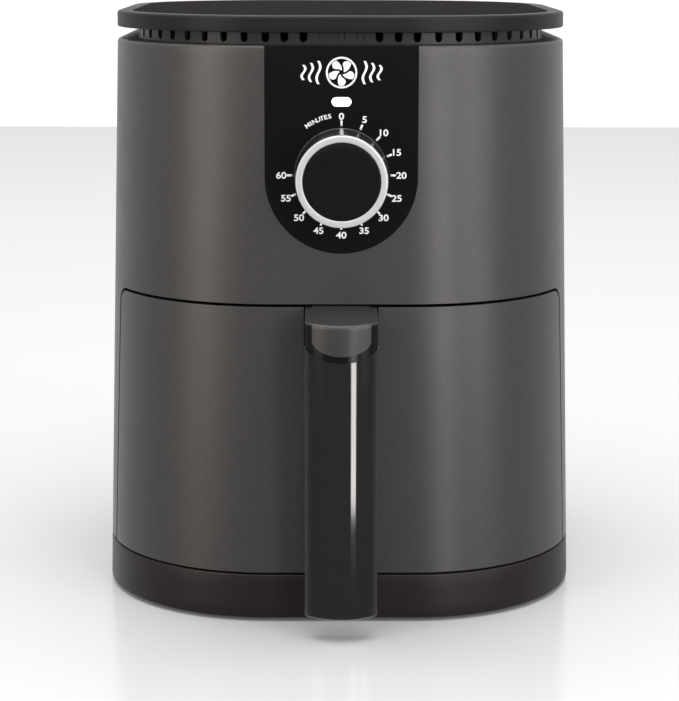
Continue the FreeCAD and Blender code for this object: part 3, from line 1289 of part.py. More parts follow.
def blades(count, inner, outer, low, height, sweep):
    """Flat blades standing round the fan's axis, each leaning by sweep degrees."""
    made = []
    for k in range(count):
        blade = box(inner, outer, -BLADE_THICK / 2, BLADE_THICK / 2, low, low + height)
        blade.rotate(V(inner, 0, 0), Z, sweep)
        blade.rotate(V(0, 0, 0), Z, 360.0 * k / count)
        blade.translate(fan_axis(0))
        made.append(blade)
    return made


def convection_fan():
    """The pressed-steel fan that drives the hot air."""
    hub = rod(FAN_HUB, fan_axis(FAN_LOW), fan_axis(FAN_LOW + FAN_HEIGHT))
    disc = rod(FAN_RADIUS - 4, fan_axis(FAN_LOW + FAN_HEIGHT - BLADE_THICK), fan_axis(FAN_LOW + FAN_HEIGHT))
    solid = hub.fuse([disc] + blades(FAN_BLADES, FAN_HUB - 2, FAN_RADIUS - 1, FAN_LOW, FAN_HEIGHT, 12))
    return solid.cut(rod(ROTOR_RADIUS, fan_axis(0), fan_axis(300))).removeSplitter()


def cooling_fan():
    """The plastic impeller above the motor that draws air in under the lid."""
    top = IMPELLER_LOW + IMPELLER_HEIGHT
    hub = rod(FAN_HUB, fan_axis(IMPELLER_LOW), fan_axis(top))
    disc = rod(IMPELLER_RADIUS, fan_axis(IMPELLER_LOW), fan_axis(IMPELLER_LOW + 1.2))
    inner, outer = FAN_HUB + 6, IMPELLER_RADIUS - 2
    vanes = blades(IMPELLER_BLADES, inner, outer, IMPELLER_LOW + 1, IMPELLER_HEIGHT - 1, 25)
    solid = hub.fuse([disc] + vanes)
    return solid.cut(rod(ROTOR_RADIUS, fan_axis(0), fan_axis(300))).removeSplitter()


def motor_shaft():
    """The steel shaft through motor, fan and impeller."""
    return rod(ROTOR_RADIUS, fan_axis(ROTOR_LOW), fan_axis(ROTOR_HIGH))


def motor_case():
    """The motor's can with bearing bosses at both ends."""
    top = MOTOR_LOW + MOTOR_HEIGHT
    can = rod(MOTOR_RADIUS, fan_axis(MOTOR_LOW), fan_axis(top))
    rims = [e for e in can.Edges if e.Length > 6 * MOTOR_RADIUS and e.Closed]
    can = can.makeFillet(2.0, rims[:2])
    boss = rod(MOTOR_BOSS, fan_axis(MOTOR_LOW - 4), fan_axis(top + 2))
    solid = can.fuse(boss)
    return solid.cut(rod(ROTOR_RADIUS + SHAFT_CLEARANCE, fan_axis(0), fan_axis(300))).removeSplitter()


def motor_bridge():
    """The steel bridge that holds the motor over the dome, on two folded legs."""
    y, z = FRONT + FAN_Y, MOTOR_LOW - FIT
    y0, y1, low = y - BRIDGE_HALF_WIDTH, y + BRIDGE_HALF_WIDTH, DOME_HIGH + 2 * DISC
    solid = box(-BRIDGE_HALF_LENGTH, BRIDGE_HALF_LENGTH, y0, y1, z - BRIDGE_THICK, z)
    for s in (-1, 1):
        x = s * (BRIDGE_HALF_LENGTH - BRIDGE_THICK / 2)
        solid = solid.fuse(box(x - BRIDGE_THICK / 2, x + BRIDGE_THICK / 2, y0, y1, low, z))
        foot_a, foot_b = sorted((x - s * BRIDGE_THICK / 2, x + s * 8))
        solid = solid.fuse(box(foot_a, foot_b, y0, y1, low, DOME_HIGH + BRIDGE_THICK))
    return solid.cut(rod(MOTOR_BOSS + SLIP, fan_axis(0), fan_axis(300))).removeSplitter()


# ---- Electrical parts ----------------------------------------------------------------------------
def thermostat():
    """The snap-disc thermostat on the dome's roof."""
    y = FRONT + FAN_Y + 38
    z = DOME_HIGH + DISC
    solid = rod(8.5, V(0, y, z), V(0, y, z + 3)).fuse(rod(7, V(0, y, z), V(0, y, z + 9)))
    for s in (-1, 1):
        solid = solid.fuse(box(s * 4 - 0.4, s * 4 + 0.4, y - 2.4, y + 2.4, z + 8, z + 15))
    return solid.removeSplitter()


def thermal_fuse():
    """The thermal cut-out, clamped beside the thermostat."""
    y, z = FRONT + FAN_Y + 38, DOME_HIGH + 2.6
    solid = rod(2, V(18, y, z), V(32, y, z)).fuse(rod(0.6, V(14, y, z), V(36, y, z)))
    clip = box(23, 27, y - 5, y + 5, DOME_HIGH + DISC, DOME_HIGH + 0.8)
    strap = box(23, 27, y - 2.4, y + 2.4, DOME_HIGH + DISC, z + 2.8)
    strap = strap.cut(rod(2 - DISC, V(20, y, z), V(30, y, z)))
    return solid.fuse([clip, strap]).removeSplitter()


def terminal_block():
    """The mains terminal block on the chamber's roof."""
    y0 = frame_back() + 12
    z = CHAMBER_HIGH + DISC
    solid = box(56, 80, y0, y0 + 14, z, z + 12)
    for n in range(3):
        x = 60 + 8 * n
        solid = solid.cut(rod(2.2, V(x, y0 + 7, z + 4), V(x, y0 + 7, z + 13)))
    return solid


def cord_gland():
    """The mains cord's inlet bush through the lower back of the shell."""
    outer = rear_at(GLAND_Z) + 0.6
    inner = outer - SHELL_WALL - GLAND_TAIL
    solid = rod(GLAND_BODY, V(0, inner, GLAND_Z), V(0, outer + DISC, GLAND_Z))
    flange = rod(GLAND_FLANGE, V(0, outer, GLAND_Z), V(0, outer + GLAND_FLANGE_THICK, GLAND_Z))
    face = outer + GLAND_FLANGE_THICK
    rim = [e for e in flange.Edges if e.Closed and abs(e.CenterOfMass.y - face) < 0.01]
    solid = solid.fuse(flange.makeFillet(1.0, rim))
    bore = rod(GLAND_BORE, V(0, inner - 1, GLAND_Z), V(0, outer + 9, GLAND_Z))
    return solid.cut(bore).removeSplitter()


def switch_body():
    """The drawer's safety switch behind the bulkhead."""
    y = frame_back() + FIT
    half = SWITCH_WIDTH / 2
    solid = box(SWITCH_X - half, SWITCH_X + half, y, y + SWITCH_DEPTH, SWITCH_Z - SWITCH_TALL / 2,
                SWITCH_Z + SWITCH_TALL / 2)
    radius = PLUNGER_RADIUS + PLUNGER_CLEARANCE
    solid = solid.cut(rod(radius, V(SWITCH_X, y - 1, SWITCH_Z), V(SWITCH_X, y + 9, SWITCH_Z)))
    for s in (-1, 1):
        z = SWITCH_Z + s * 6
        end = y + SWITCH_DEPTH
        blade = box(SWITCH_X - 0.4, SWITCH_X + 0.4, end - 1, end + 7, z - 2.4, z + 2.4)
        solid = solid.fuse(blade)
    return solid.removeSplitter()


def switch_plunger():
    """The switch's button, held in by the closed drawer."""
    tip = FRONT + WRAP_DEPTH + PLUNGER_TOUCH
    end = frame_back() + FIT + 6
    return rod(PLUNGER_RADIUS, V(SWITCH_X, tip, SWITCH_Z), V(SWITCH_X, end, SWITCH_Z))


def drawer_catches():
    """Two leaf springs on the chamber's walls that the basket's rim snaps past."""
    y0 = FRONT + BASKET_BACK - 47
    z0, z1 = BASKET_HIGH - 1 - CATCH_WIDTH / 2, BASKET_HIGH - 1 + CATCH_WIDTH / 2
    wall = CHAMBER_HALF_WIDTH - SHEET
    run = [(0.0, 0.0), (6.0, 0.0), (14.0, CATCH_BUMP), (18.0, CATCH_BUMP), (26.0, 0.0), (32.0, 0.0)]
    outer = [V(wall - d - DISC, y0 + y, z0) for y, d in run]
    inner = [V(wall - d - CATCH_THICK, y0 + y, z0) for y, d in reversed(run)]
    leaf = Part.Face(Part.makePolygon(outer + inner + outer[:1])).extrude(Z * (z1 - z0))
    return group([leaf, mirrored(leaf)])


def wire(points):
    """One insulated lead through the points."""
    return tube_along(rounded_path(points, 4 * WIRE_RADIUS), WIRE_RADIUS)


def wiring():
    """The insulated leads between inlet, terminal block, timer and drawer switch."""
    block_y = frame_back() + 19
    low, high = CHAMBER_HIGH + 10, CHAMBER_HIGH + 20
    gland_y = rear_at(GLAND_Z) - GLAND_TAIL - SHELL_WALL
    timer_y = timer_plate_y() + TIMER_PLATE + 12.4
    timer_low = KNOB_Z - TIMER_SIZE / 2 - 7 - FIT
    switch_y = frame_back() + SWITCH_DEPTH + 3
    side = CHAMBER_HALF_WIDTH - 7
    made = [
        wire([V(0, gland_y - 0.6, GLAND_Z), V(0, gland_y - 8, GLAND_Z), V(50, gland_y - 8, GLAND_Z + 4),
              V(50, gland_y - 8, high - 6), V(side, FRONT + 180, high - 4), V(side, FRONT + 110, high - 2),
              V(68, block_y, high + 4), V(68, block_y, low)]),
        wire([V(60, block_y, low), V(60, block_y, high + 4), V(30, block_y - 22, high + 2),
              V(12, timer_y, timer_low - 8), V(12, timer_y, timer_low)]),
        wire([V(76, block_y, low), V(76, block_y, high), V(SWITCH_X, switch_y, high),
              V(SWITCH_X, switch_y, SWITCH_Z + 8.4 + FIT)]),
    ]
    return group(made)


NODES = {
    "base_band": base_band,
    "base_plate": base_plate,
    "rubber_feet": rubber_feet,
    "base_screws": base_screws,
    "main_shell": main_shell,
    "vent_ring": vent_ring,
    "lid": lid,
    "lid_panel": lid_panel,
    "rear_hood": rear_hood,
    "rear_grille": rear_grille,
    "hood_screws": hood_screws,
    "control_panel": control_panel,
    "indicator_lens": indicator_lens,
    "indicator_board": indicator_board,
    "knob_body": knob_body,
    "knob_ring": knob_ring,
    "knob_cap": knob_cap,
    "timer_shaft": timer_shaft,
    "timer_plate": timer_plate,
    "timer_screws": timer_screws,
    "timer_case": timer_case,
    "timer_bell": timer_bell,
    "drawer_front": drawer_front,
    "drawer_carrier": drawer_carrier,
    "basket": basket,
    "crisper_plate": crisper_plate,
    "crisper_bumpers": crisper_bumpers,
    "handle_frame": handle_frame,
    "handle_cover": handle_cover,
    "handle_tongue": handle_tongue,
    "handle_screws": handle_screws,
    "bay_frame": bay_frame,
    "chamber_liner": chamber_liner,
    "chamber_rails": chamber_rails,
    "element_dome": element_dome,
    "heating_element": heating_element,
    "element_bushes": element_bushes,
    "element_guard": element_guard,
    "exhaust_duct": exhaust_duct,
    "convection_fan": convection_fan,
    "cooling_fan": cooling_fan,
    "motor_shaft": motor_shaft,
    "motor_case": motor_case,
    "motor_bridge": motor_bridge,
    "thermostat": thermostat,
    "thermal_fuse": thermal_fuse,
    "terminal_block": terminal_block,
    "cord_gland": cord_gland,
    "switch_body": switch_body,
    "switch_plunger": switch_plunger,
    "drawer_catches": drawer_catches,
    "wiring": wiring,
}


def main():
    """Makes every sub-part and writes its file."""
    os.makedirs("parts", exist_ok=True)
    for name, make in NODES.items():
        shape = make()
        count, volume = len(shape.Solids), sum(s.Volume for s in shape.Solids) / 1000
        print(f"{name}: {count} solid(s), {volume:.2f} cm3, valid {shape.isValid()}")
        shape.exportStep(f"parts/{name}.step")


main()
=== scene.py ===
"""Looks of a compact drawer air fryer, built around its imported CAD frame.

Each sub-assembly is a class: its fields are sizes in millimetres, its methods work out the surfaces and dress
them.
Frame: +Z up, -Y towards the cook, the origin on the worktop under the middle of the overall box.
"""

import logging
import math
from dataclasses import dataclass
from enum import Enum
from typing import Optional, Sequence

import bpy
import numpy as np
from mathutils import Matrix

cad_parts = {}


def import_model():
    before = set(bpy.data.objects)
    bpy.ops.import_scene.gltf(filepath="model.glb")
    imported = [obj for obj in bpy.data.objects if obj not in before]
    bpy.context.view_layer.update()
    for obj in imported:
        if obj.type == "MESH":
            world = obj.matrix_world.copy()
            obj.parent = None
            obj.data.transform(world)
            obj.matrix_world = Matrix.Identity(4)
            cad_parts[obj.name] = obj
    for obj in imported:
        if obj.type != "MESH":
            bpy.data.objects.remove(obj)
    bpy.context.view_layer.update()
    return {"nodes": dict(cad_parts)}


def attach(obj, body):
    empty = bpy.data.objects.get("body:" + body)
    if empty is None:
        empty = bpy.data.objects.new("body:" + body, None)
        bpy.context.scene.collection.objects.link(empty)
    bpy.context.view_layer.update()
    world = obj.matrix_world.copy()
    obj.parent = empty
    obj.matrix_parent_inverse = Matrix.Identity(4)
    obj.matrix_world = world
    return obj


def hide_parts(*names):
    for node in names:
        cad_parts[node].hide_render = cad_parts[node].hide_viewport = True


MM = 0.001
LOG = logging.getLogger("air_fryer")
Colour = tuple[float, float, float]


# ---- Meshes --------------------------------------------------------------------------------------------
def quad_indices(rows: int, cols: int, wrap: bool) -> np.ndarray:
    """Corner indices of a grid's faces, counter-clockwise when columns run right and rows run up.

    Args:
        rows: number of grid rows.
        cols: number of grid columns.
        wrap: whether the last column joins the first.

    Returns:
        An array of shape (rows - 1, face columns, 4).
    """
    index = np.arange(rows * cols).reshape(rows, cols)
    right = np.roll(index, -1, axis=1)
    faces = np.stack([index[:-1], right[:-1], right[1:], index[1:]], axis=-1)
    return faces if wrap else faces[:, :-1]


def mesh_object(name: str, points: np.ndarray, faces: np.ndarray) -> bpy.types.Object:
    """Puts points and quads into a new smooth-shaded object at the origin, with doubled points merged.

    Args:
        name: the piece's name.
        points: (n, 3) positions in millimetres.
        faces: (m, 4) corner indices.

    Returns:
        The new object, linked to the scene.
    """
    flat = np.round(points.reshape(-1, 3), 5)
    unique, inverse = np.unique(flat, axis=0, return_inverse=True)
    corners = inverse.reshape(-1)[faces.reshape(-1, faces.shape[-1])]
    mesh = bpy.data.meshes.new(name)
    polygons = [list(dict.fromkeys(face)) for face in corners.tolist()]
    mesh.from_pydata(unique * MM, [], [p for p in polygons if len(p) > 2])
    mesh.update()
    mesh.shade_smooth()
    piece = bpy.data.objects.new(name, mesh)
    bpy.context.scene.collection.objects.link(piece)
    return piece


def grid_object(name: str, points: np.ndarray, wrap: bool = False, keep: Optional[np.ndarray] = None,
                flip: bool = False) -> bpy.types.Object:
    """Makes a piece from a grid of points, one quad for each cell that is kept.

    Args:
        name: the piece's name.
        points: (rows, cols, 3) positions in millimetres.
        wrap: whether the last column joins the first.
        keep: mask of the cells to keep, or None for all.
        flip: turns every face round.

    Returns:
        The new object.
    """
    faces = quad_indices(points.shape[0], points.shape[1], wrap)
    faces = faces.reshape(-1, 4) if keep is None else faces[keep]
    return mesh_object(name, points, faces[:, ::-1] if flip else faces)


def thicken(piece: bpy.types.Object, wall: float) -> bpy.types.Object:
    """Gives an open surface a wall that grows inwards by wall millimetres."""
    modifier = piece.modifiers.new("wall", "SOLIDIFY")
    modifier.thickness = wall * MM
    modifier.offset = -1.0
    modifier.use_even_offset = True
    return piece


def ease(piece: bpy.types.Object, width: float, segments: int = 2, angle: float = 40.0) -> bpy.types.Object:
    """Rounds the piece's sharp edges by width millimetres."""
    modifier = piece.modifiers.new("eased", "BEVEL")
    modifier.width = width * MM
    modifier.segments = segments
    modifier.limit_method = "ANGLE"
    modifier.angle_limit = math.radians(angle)
    modifier.harden_normals = True
    return piece


def revolved(name: str, profile: Sequence[tuple[float, float]], centre: np.ndarray, along: np.ndarray,
             columns: int = 128) -> bpy.types.Object:
    """Turns a profile round an axis: point = centre + h * axis + r * (cos a * side + sin a * other side).

    Args:
        name: the piece's name.
        profile: (radius, height along the axis) pairs, outside first going up, so that faces look outwards.
        centre: a point on the axis, in millimetres.
        along: the axis, of length one.
        columns: how many steps round.

    Returns:
        The new object.
    """
    line = np.array(profile, float)
    angle = np.linspace(0, 2 * math.pi, columns, endpoint=False)
    helper = np.array([1.0, 0, 0])
    second = np.cross(along, helper)
    ring = np.cos(angle)[:, None] * helper + np.sin(angle)[:, None] * second
    points = centre + line[:, 1, None, None] * along + line[:, 0, None, None] * ring[None]
    return grid_object(name, points, wrap=True)


def arc_profile(centre: tuple[float, float], radius: float, start: float, end: float,
                steps: int = 6) -> list[tuple[float, float]]:
    """Points on an arc: centre + radius * (cos a, sin a), a from start to end degrees."""
    angle = np.radians(np.linspace(start, end, steps + 1))
    return list(zip(centre[0] + radius * np.cos(angle), centre[1] + radius * np.sin(angle)))


# ---- Finishes ------------------------------------------------------------------------------------------
class Grain(Enum):
    """The fine pattern that a finish carries."""

    FLAKE = "flake"
    STIPPLE = "stipple"
    PEEL = "peel"
    BRUSHED = "brushed"
    SPANGLE = "spangle"
    SPECKLE = "speckle"


class Nodes:
    """A thin builder for one material's node tree."""

    def __init__(self, name: str) -> None:
        """Starts an empty material with its output and main shader."""
        self.material = bpy.data.materials.new(name)
        self.material.use_nodes = True
        self.tree = self.material.node_tree
        self.tree.nodes.clear()
        self.output = self.add("ShaderNodeOutputMaterial")
        self.shader = self.add("ShaderNodeBsdfPrincipled")
        self.link(self.shader, "BSDF", self.output, "Surface")
        self.object_place = self.add("ShaderNodeTexCoord").outputs["Object"]

    def add(self, kind: str, **values: object) -> bpy.types.Node:
        """Adds a node and sets its properties."""
        node = self.tree.nodes.new(kind)
        for key, value in values.items():
            setattr(node, key, value)
        return node

    def link(self, source: bpy.types.Node, out: str, target: bpy.types.Node, into: str) -> None:
        """Joins a node's output to another node's input."""
        self.tree.links.new(source.outputs[out], target.inputs[into])

    def mapped(self, scale: tuple[float, float, float]) -> bpy.types.NodeSocket:
        """Object coordinates stretched by scale."""
        node = self.add("ShaderNodeMapping")
        node.inputs["Scale"].default_value = scale
        self.tree.links.new(self.object_place, node.inputs["Vector"])
        return node.outputs["Vector"]

    def noise(self, scale: float, detail: float = 2.0, rough: float = 0.5,
              place: Optional[bpy.types.NodeSocket] = None) -> bpy.types.NodeSocket:
        """A noise value from 0 to 1."""
        node = self.add("ShaderNodeTexNoise")
        node.inputs["Scale"].default_value = scale
        node.inputs["Detail"].default_value = detail
        node.inputs["Roughness"].default_value = rough
        self.tree.links.new(place or self.object_place, node.inputs["Vector"])
        return node.outputs["Fac"]

    def cells(self, scale: float, output: str = "Color") -> bpy.types.NodeSocket:
        """A value from a field of cells: random by cell, or the distance to its middle."""
        node = self.add("ShaderNodeTexVoronoi")
        node.inputs["Scale"].default_value = scale
        self.tree.links.new(self.object_place, node.inputs["Vector"])
        if output != "Color":
            return node.outputs[output]
        split = self.add("ShaderNodeSeparateColor")
        self.link(node, "Color", split, "Color")
        return split.outputs["Red"]

    def ranged(self, value: bpy.types.NodeSocket, low: float, high: float, start: float = 0.0,
               end: float = 1.0) -> bpy.types.NodeSocket:
        """value moved from start..end to low..high, held at the ends."""
        node = self.add("ShaderNodeMapRange")
        for key, number in (("From Min", start), ("From Max", end), ("To Min", low), ("To Max", high)):
            node.inputs[key].default_value = number
        self.tree.links.new(value, node.inputs["Value"])
        return node.outputs["Result"]

    def blend(self, share: bpy.types.NodeSocket, first: object, second: object) -> bpy.types.NodeSocket:
        """A colour between first and second, each a colour or a socket."""
        node = self.add("ShaderNodeMix", data_type="RGBA")
        self.tree.links.new(share, node.inputs[0])
        for socket, value in ((node.inputs[6], first), (node.inputs[7], second)):
            if isinstance(value, bpy.types.NodeSocket):
                self.tree.links.new(value, socket)
            else:
                socket.default_value = (*value, 1.0)
        return node.outputs[2]

    def product(self, first: bpy.types.NodeSocket, second: bpy.types.NodeSocket) -> bpy.types.NodeSocket:
        """The product of two values."""
        node = self.add("ShaderNodeMath", operation="MULTIPLY")
        self.tree.links.new(first, node.inputs[0])
        self.tree.links.new(second, node.inputs[1])
        return node.outputs[0]

    def edges(self, radius: float) -> bpy.types.NodeSocket:
        """0 on flat surface, rising to 1 along edges, where a rounded normal leans from the true one."""
        rounded = self.add("ShaderNodeBevel", samples=4)
        rounded.inputs["Radius"].default_value = radius * MM
        true = self.add("ShaderNodeNewGeometry")
        dot = self.add("ShaderNodeVectorMath", operation="DOT_PRODUCT")
        self.link(rounded, "Normal", dot, "Vector")
        self.tree.links.new(true.outputs["Normal"], dot.inputs[1])
        return self.ranged(dot.outputs["Value"], 1.0, 0.0, 0.72, 0.985)


@dataclass(frozen=True)
class Finish:
    """One surface finish with its grain, cloudiness, roughness spread and lightened edges, partly wear and
    partly painted highlight.

    colour is linear; grain_size is repeats per metre; relief is the grain's depth in millimetres.
    """

    name: str
    colour: Colour
    grain: Grain = Grain.STIPPLE
    roughness: float = 0.45
    spread: float = 0.08
    metallic: float = 0.0
    level: float = 0.5
    grain_size: float = 900.0
    grain_mark: float = 0.12
    relief: float = 0.02
    cloud: float = 0.06
    wear: float = 0.25
    coat: float = 0.0
    coat_roughness: float = 0.1
    glow: float = 0.0
    stretch: tuple[float, float, float] = (1.0, 1.0, 40.0)

    def pattern(self, nodes: Nodes) -> bpy.types.NodeSocket:
        """The fine pattern's value from 0 to 1."""
        if self.grain is Grain.FLAKE:
            return nodes.cells(self.grain_size)
        if self.grain is Grain.SPANGLE:
            return nodes.cells(self.grain_size)
        if self.grain is Grain.SPECKLE:
            return nodes.ranged(nodes.cells(self.grain_size, "Distance"), 1.0, 0.0, 0.05, 0.32)
        if self.grain is Grain.BRUSHED:
            return nodes.noise(self.grain_size, 3.0, 0.6, nodes.mapped(self.stretch))
        if self.grain is Grain.PEEL:
            return nodes.noise(self.grain_size, 1.0, 0.4)
        return nodes.noise(self.grain_size, 2.0, 0.6)

    def material(self) -> bpy.types.Material:
        """Builds the finish once and returns it afterwards."""
        known = bpy.data.materials.get(self.name)
        if known is not None:
            return known
        nodes = Nodes(self.name)
        shader = nodes.shader
        pattern = self.pattern(nodes)
        clouds = nodes.noise(14.0, 4.0, 0.55)
        dark = tuple(c * (1 - self.grain_mark) for c in self.colour)
        light = tuple(min(1.0, c * (1 + self.grain_mark)) for c in self.colour)
        colour = nodes.blend(pattern, dark, light)
        cloudy = tuple(c * (1 - 2 * self.cloud) for c in self.colour)
        colour = nodes.blend(nodes.ranged(clouds, 0.0, 0.5, 0.35, 0.75), colour, cloudy)
        smear = nodes.noise(60.0, 5.0, 0.65)
        rough = nodes.ranged(nodes.product(smear, clouds), self.roughness - self.spread / 2,
                             self.roughness + self.spread, 0.1, 0.45)
        # Edges are lightened in colour: partly edge wear, partly a painted highlight standing in for the
        # light that rounded edges catch.
        if self.wear > 0:
            edge = nodes.edges(0.35)
            worn_and_highlit_edges = nodes.product(edge, nodes.ranged(nodes.noise(240.0, 3.0), 0.2, 1.0, 0.35, 0.65))
            worn_and_highlit_colour = tuple(min(1.0, c + self.wear * (0.04 + 0.5 * c)) for c in self.colour)
            colour = nodes.blend(worn_and_highlit_edges, colour, worn_and_highlit_colour)
        nodes.tree.links.new(colour, shader.inputs["Base Color"])
        nodes.tree.links.new(rough, shader.inputs["Roughness"])
        shader.inputs["Metallic"].default_value = self.metallic
        shader.inputs["Specular IOR Level"].default_value = self.level
        shader.inputs["Coat Weight"].default_value = self.coat
        shader.inputs["Coat Roughness"].default_value = self.coat_roughness
        if self.glow > 0:
            shader.inputs["Emission Color"].default_value = (1.0, 1.0, 1.0, 1.0)
            shader.inputs["Emission Strength"].default_value = self.glow
        bump = nodes.add("ShaderNodeBump")
        bump.inputs["Strength"].default_value = 0.6
        bump.inputs["Distance"].default_value = self.relief * MM
        nodes.tree.links.new(pattern, bump.inputs["Height"])
        nodes.link(bump, "Normal", shader, "Normal")
        return nodes.material

    def dress(self, piece: bpy.types.Object) -> None:
        """Gives a piece this finish and no other."""
        piece.data.materials.clear()
        piece.data.materials.append(self.material())


PAINT = Finish("graphite_paint", (0.082, 0.077, 0.0735), grain=Grain.FLAKE, roughness=0.42, spread=0.06,
               metallic=0.55, grain_size=3200, grain_mark=0.16, relief=0.004, cloud=0.03, wear=0.3,
               coat=0.25, coat_roughness=0.3)
BAND = Finish("umber_plastic", (0.016, 0.0118, 0.0112), roughness=0.42, spread=0.1, level=0.35,
              grain_size=1400, relief=0.012, cloud=0.08)
LID_RIM = Finish("lid_black", (0.0125, 0.0118, 0.0115), roughness=0.42, level=0.25, grain_size=1500,
                 relief=0.01, cloud=0.05)
LID_TOP = Finish("lid_top", (0.0125, 0.0112, 0.0103), roughness=0.85, spread=0.06, level=0.02,
                 grain_size=1500, grain_mark=0.15, relief=0.014, cloud=0.05)
VENT = Finish("vent_plastic", (0.04, 0.037, 0.035), roughness=0.4, level=0.4, grain_size=1500,
              relief=0.01, cloud=0.05)
PANEL = Finish("facia_black", (0.006, 0.0056, 0.0055), grain=Grain.PEEL, roughness=0.07, spread=0.04,
               level=0.3, grain_size=220, grain_mark=0.1, relief=0.0015, cloud=0.1, wear=0.1)
CAP = Finish("cap_black", (0.007, 0.0065, 0.006), grain=Grain.PEEL, roughness=0.09, spread=0.04,
             level=0.4, grain_size=220, grain_mark=0.1, relief=0.0015, cloud=0.1, wear=0.1)
KNOB = Finish("knob_black", (0.014, 0.013, 0.013), roughness=0.28, grain_size=1300, grain_mark=0.1,
              relief=0.006)
RING = Finish("ring_white", (0.66, 0.66, 0.66), grain=Grain.PEEL, roughness=0.25, spread=0.06,
              metallic=0.3, grain_size=300, grain_mark=0.03, relief=0.002, cloud=0.02, wear=0.0, coat=0.3)
# White dial print with a faint emission: a painted glow that lifts the print above what the lights give.
INK_PAINTED_GLOW = Finish("dial_ink_painted_glow", (0.86, 0.86, 0.85), roughness=0.5, spread=0.06, level=0.3, grain_size=2600,
             grain_mark=0.05, relief=0.003, cloud=0.02, wear=0.0, glow=0.1)
LENS = Finish("lamp_window", (0.95, 0.95, 0.97), grain=Grain.PEEL, roughness=0.3, spread=0.05,
              grain_size=300, grain_mark=0.01, relief=0.002, cloud=0.01, wear=0.0, glow=5.0)
COVER = Finish("grip_gloss", (0.14, 0.134, 0.131), grain=Grain.PEEL, roughness=0.07, spread=0.03,
               metallic=0.95, grain_size=160, grain_mark=0.05, relief=0.0015, cloud=0.05, wear=0.3)
CORE = Finish("core_gloss", (0.0055, 0.0052, 0.0052), grain=Grain.PEEL, roughness=0.2, spread=0.06,
              level=0.35, grain_size=200, grain_mark=0.1, relief=0.002, wear=0.2)
TONGUE = Finish("thumb_plate", (0.07, 0.066, 0.063), grain=Grain.FLAKE, roughness=0.4, spread=0.06,
                metallic=0.5, grain_size=3200, grain_mark=0.14, relief=0.004, cloud=0.03, wear=0.3,
                coat=0.2, coat_roughness=0.3)
HOOD = Finish("hood_plastic", (0.016, 0.015, 0.0148), roughness=0.5, spread=0.1, level=0.4,
              grain_size=800, grain_mark=0.15, relief=0.03)
BLACK = Finish("inner_black", (0.012, 0.0118, 0.0118), roughness=0.5, spread=0.1, level=0.4,
               grain_mark=0.15)
NONSTICK = Finish("nonstick", (0.022, 0.022, 0.023), grain=Grain.SPECKLE, roughness=0.36, spread=0.1,
                  metallic=0.25, grain_size=1100, grain_mark=0.35, relief=0.01, cloud=0.08, wear=0.5,
                  coat=0.15, coat_roughness=0.25)
SHEET = Finish("aluminised_sheet", (0.5, 0.5, 0.49), grain=Grain.SPANGLE, roughness=0.32, spread=0.16,
               metallic=0.95, grain_size=160, grain_mark=0.1, relief=0.004, cloud=0.12, wear=0.3)
BRACKET = Finish("bracket_steel", (0.52, 0.52, 0.5), grain=Grain.BRUSHED, roughness=0.34, spread=0.14,
                 metallic=0.95, grain_size=260, relief=0.006, cloud=0.1, wear=0.4,
                 stretch=(30.0, 1.0, 1.0))
GROUND = Finish("ground_steel", (0.58, 0.58, 0.57), grain=Grain.BRUSHED, roughness=0.24, spread=0.1,
                metallic=1.0, grain_size=400, grain_mark=0.08, relief=0.003, cloud=0.05, wear=0.3)
SHEATH = Finish("element_sheath", (0.13, 0.1, 0.085), roughness=0.5, spread=0.16, metallic=0.8,
                grain_size=260, grain_mark=0.4, cloud=0.3, wear=0.2)
ZINC = Finish("zinc_screw", (0.55, 0.54, 0.5), grain=Grain.BRUSHED, roughness=0.3, spread=0.12,
              metallic=1.0, grain_size=700, grain_mark=0.1, relief=0.004, cloud=0.1, wear=0.5)
RUBBER = Finish("rubber", (0.014, 0.014, 0.014), roughness=0.78, spread=0.1, level=0.3, grain_size=1800,
                grain_mark=0.25, relief=0.03, cloud=0.12, wear=0.4)
SILICONE = Finish("silicone", (0.03, 0.03, 0.031), roughness=0.6, spread=0.1, level=0.4, grain_size=1200,
                  grain_mark=0.15, relief=0.015, cloud=0.1, wear=0.2)
CERAMIC = Finish("ceramic", (0.72, 0.69, 0.62), roughness=0.6, spread=0.12, level=0.4, grain_size=700,
                 grain_mark=0.08, cloud=0.12, wear=0.2)
BOARD = Finish("circuit_board", (0.02, 0.12, 0.045), grain=Grain.BRUSHED, roughness=0.35, spread=0.1,
               grain_size=300, grain_mark=0.3, relief=0.01, cloud=0.1, wear=0.2, stretch=(8.0, 1.0, 1.0))
NYLON = Finish("natural_nylon", (0.6, 0.58, 0.52), spread=0.1, level=0.4, grain_mark=0.06, cloud=0.08,
               wear=0.2)
RED = Finish("red_button", (0.42, 0.03, 0.02), roughness=0.4, spread=0.1, level=0.4, grain_mark=0.1,
             cloud=0.08, wear=0.3)
SLEEVE = Finish("lead_sleeve", (0.36, 0.03, 0.022), roughness=0.55, spread=0.1, level=0.4,
                grain_size=1500, grain_mark=0.2, cloud=0.1, wear=0.2)
SCREEN = Finish("studio_white", (0.66, 0.66, 0.66), roughness=0.17, spread=0.02, grain_size=300,
                grain_mark=0.004, relief=0.0, cloud=0.004, wear=0.0, glow=0.02)

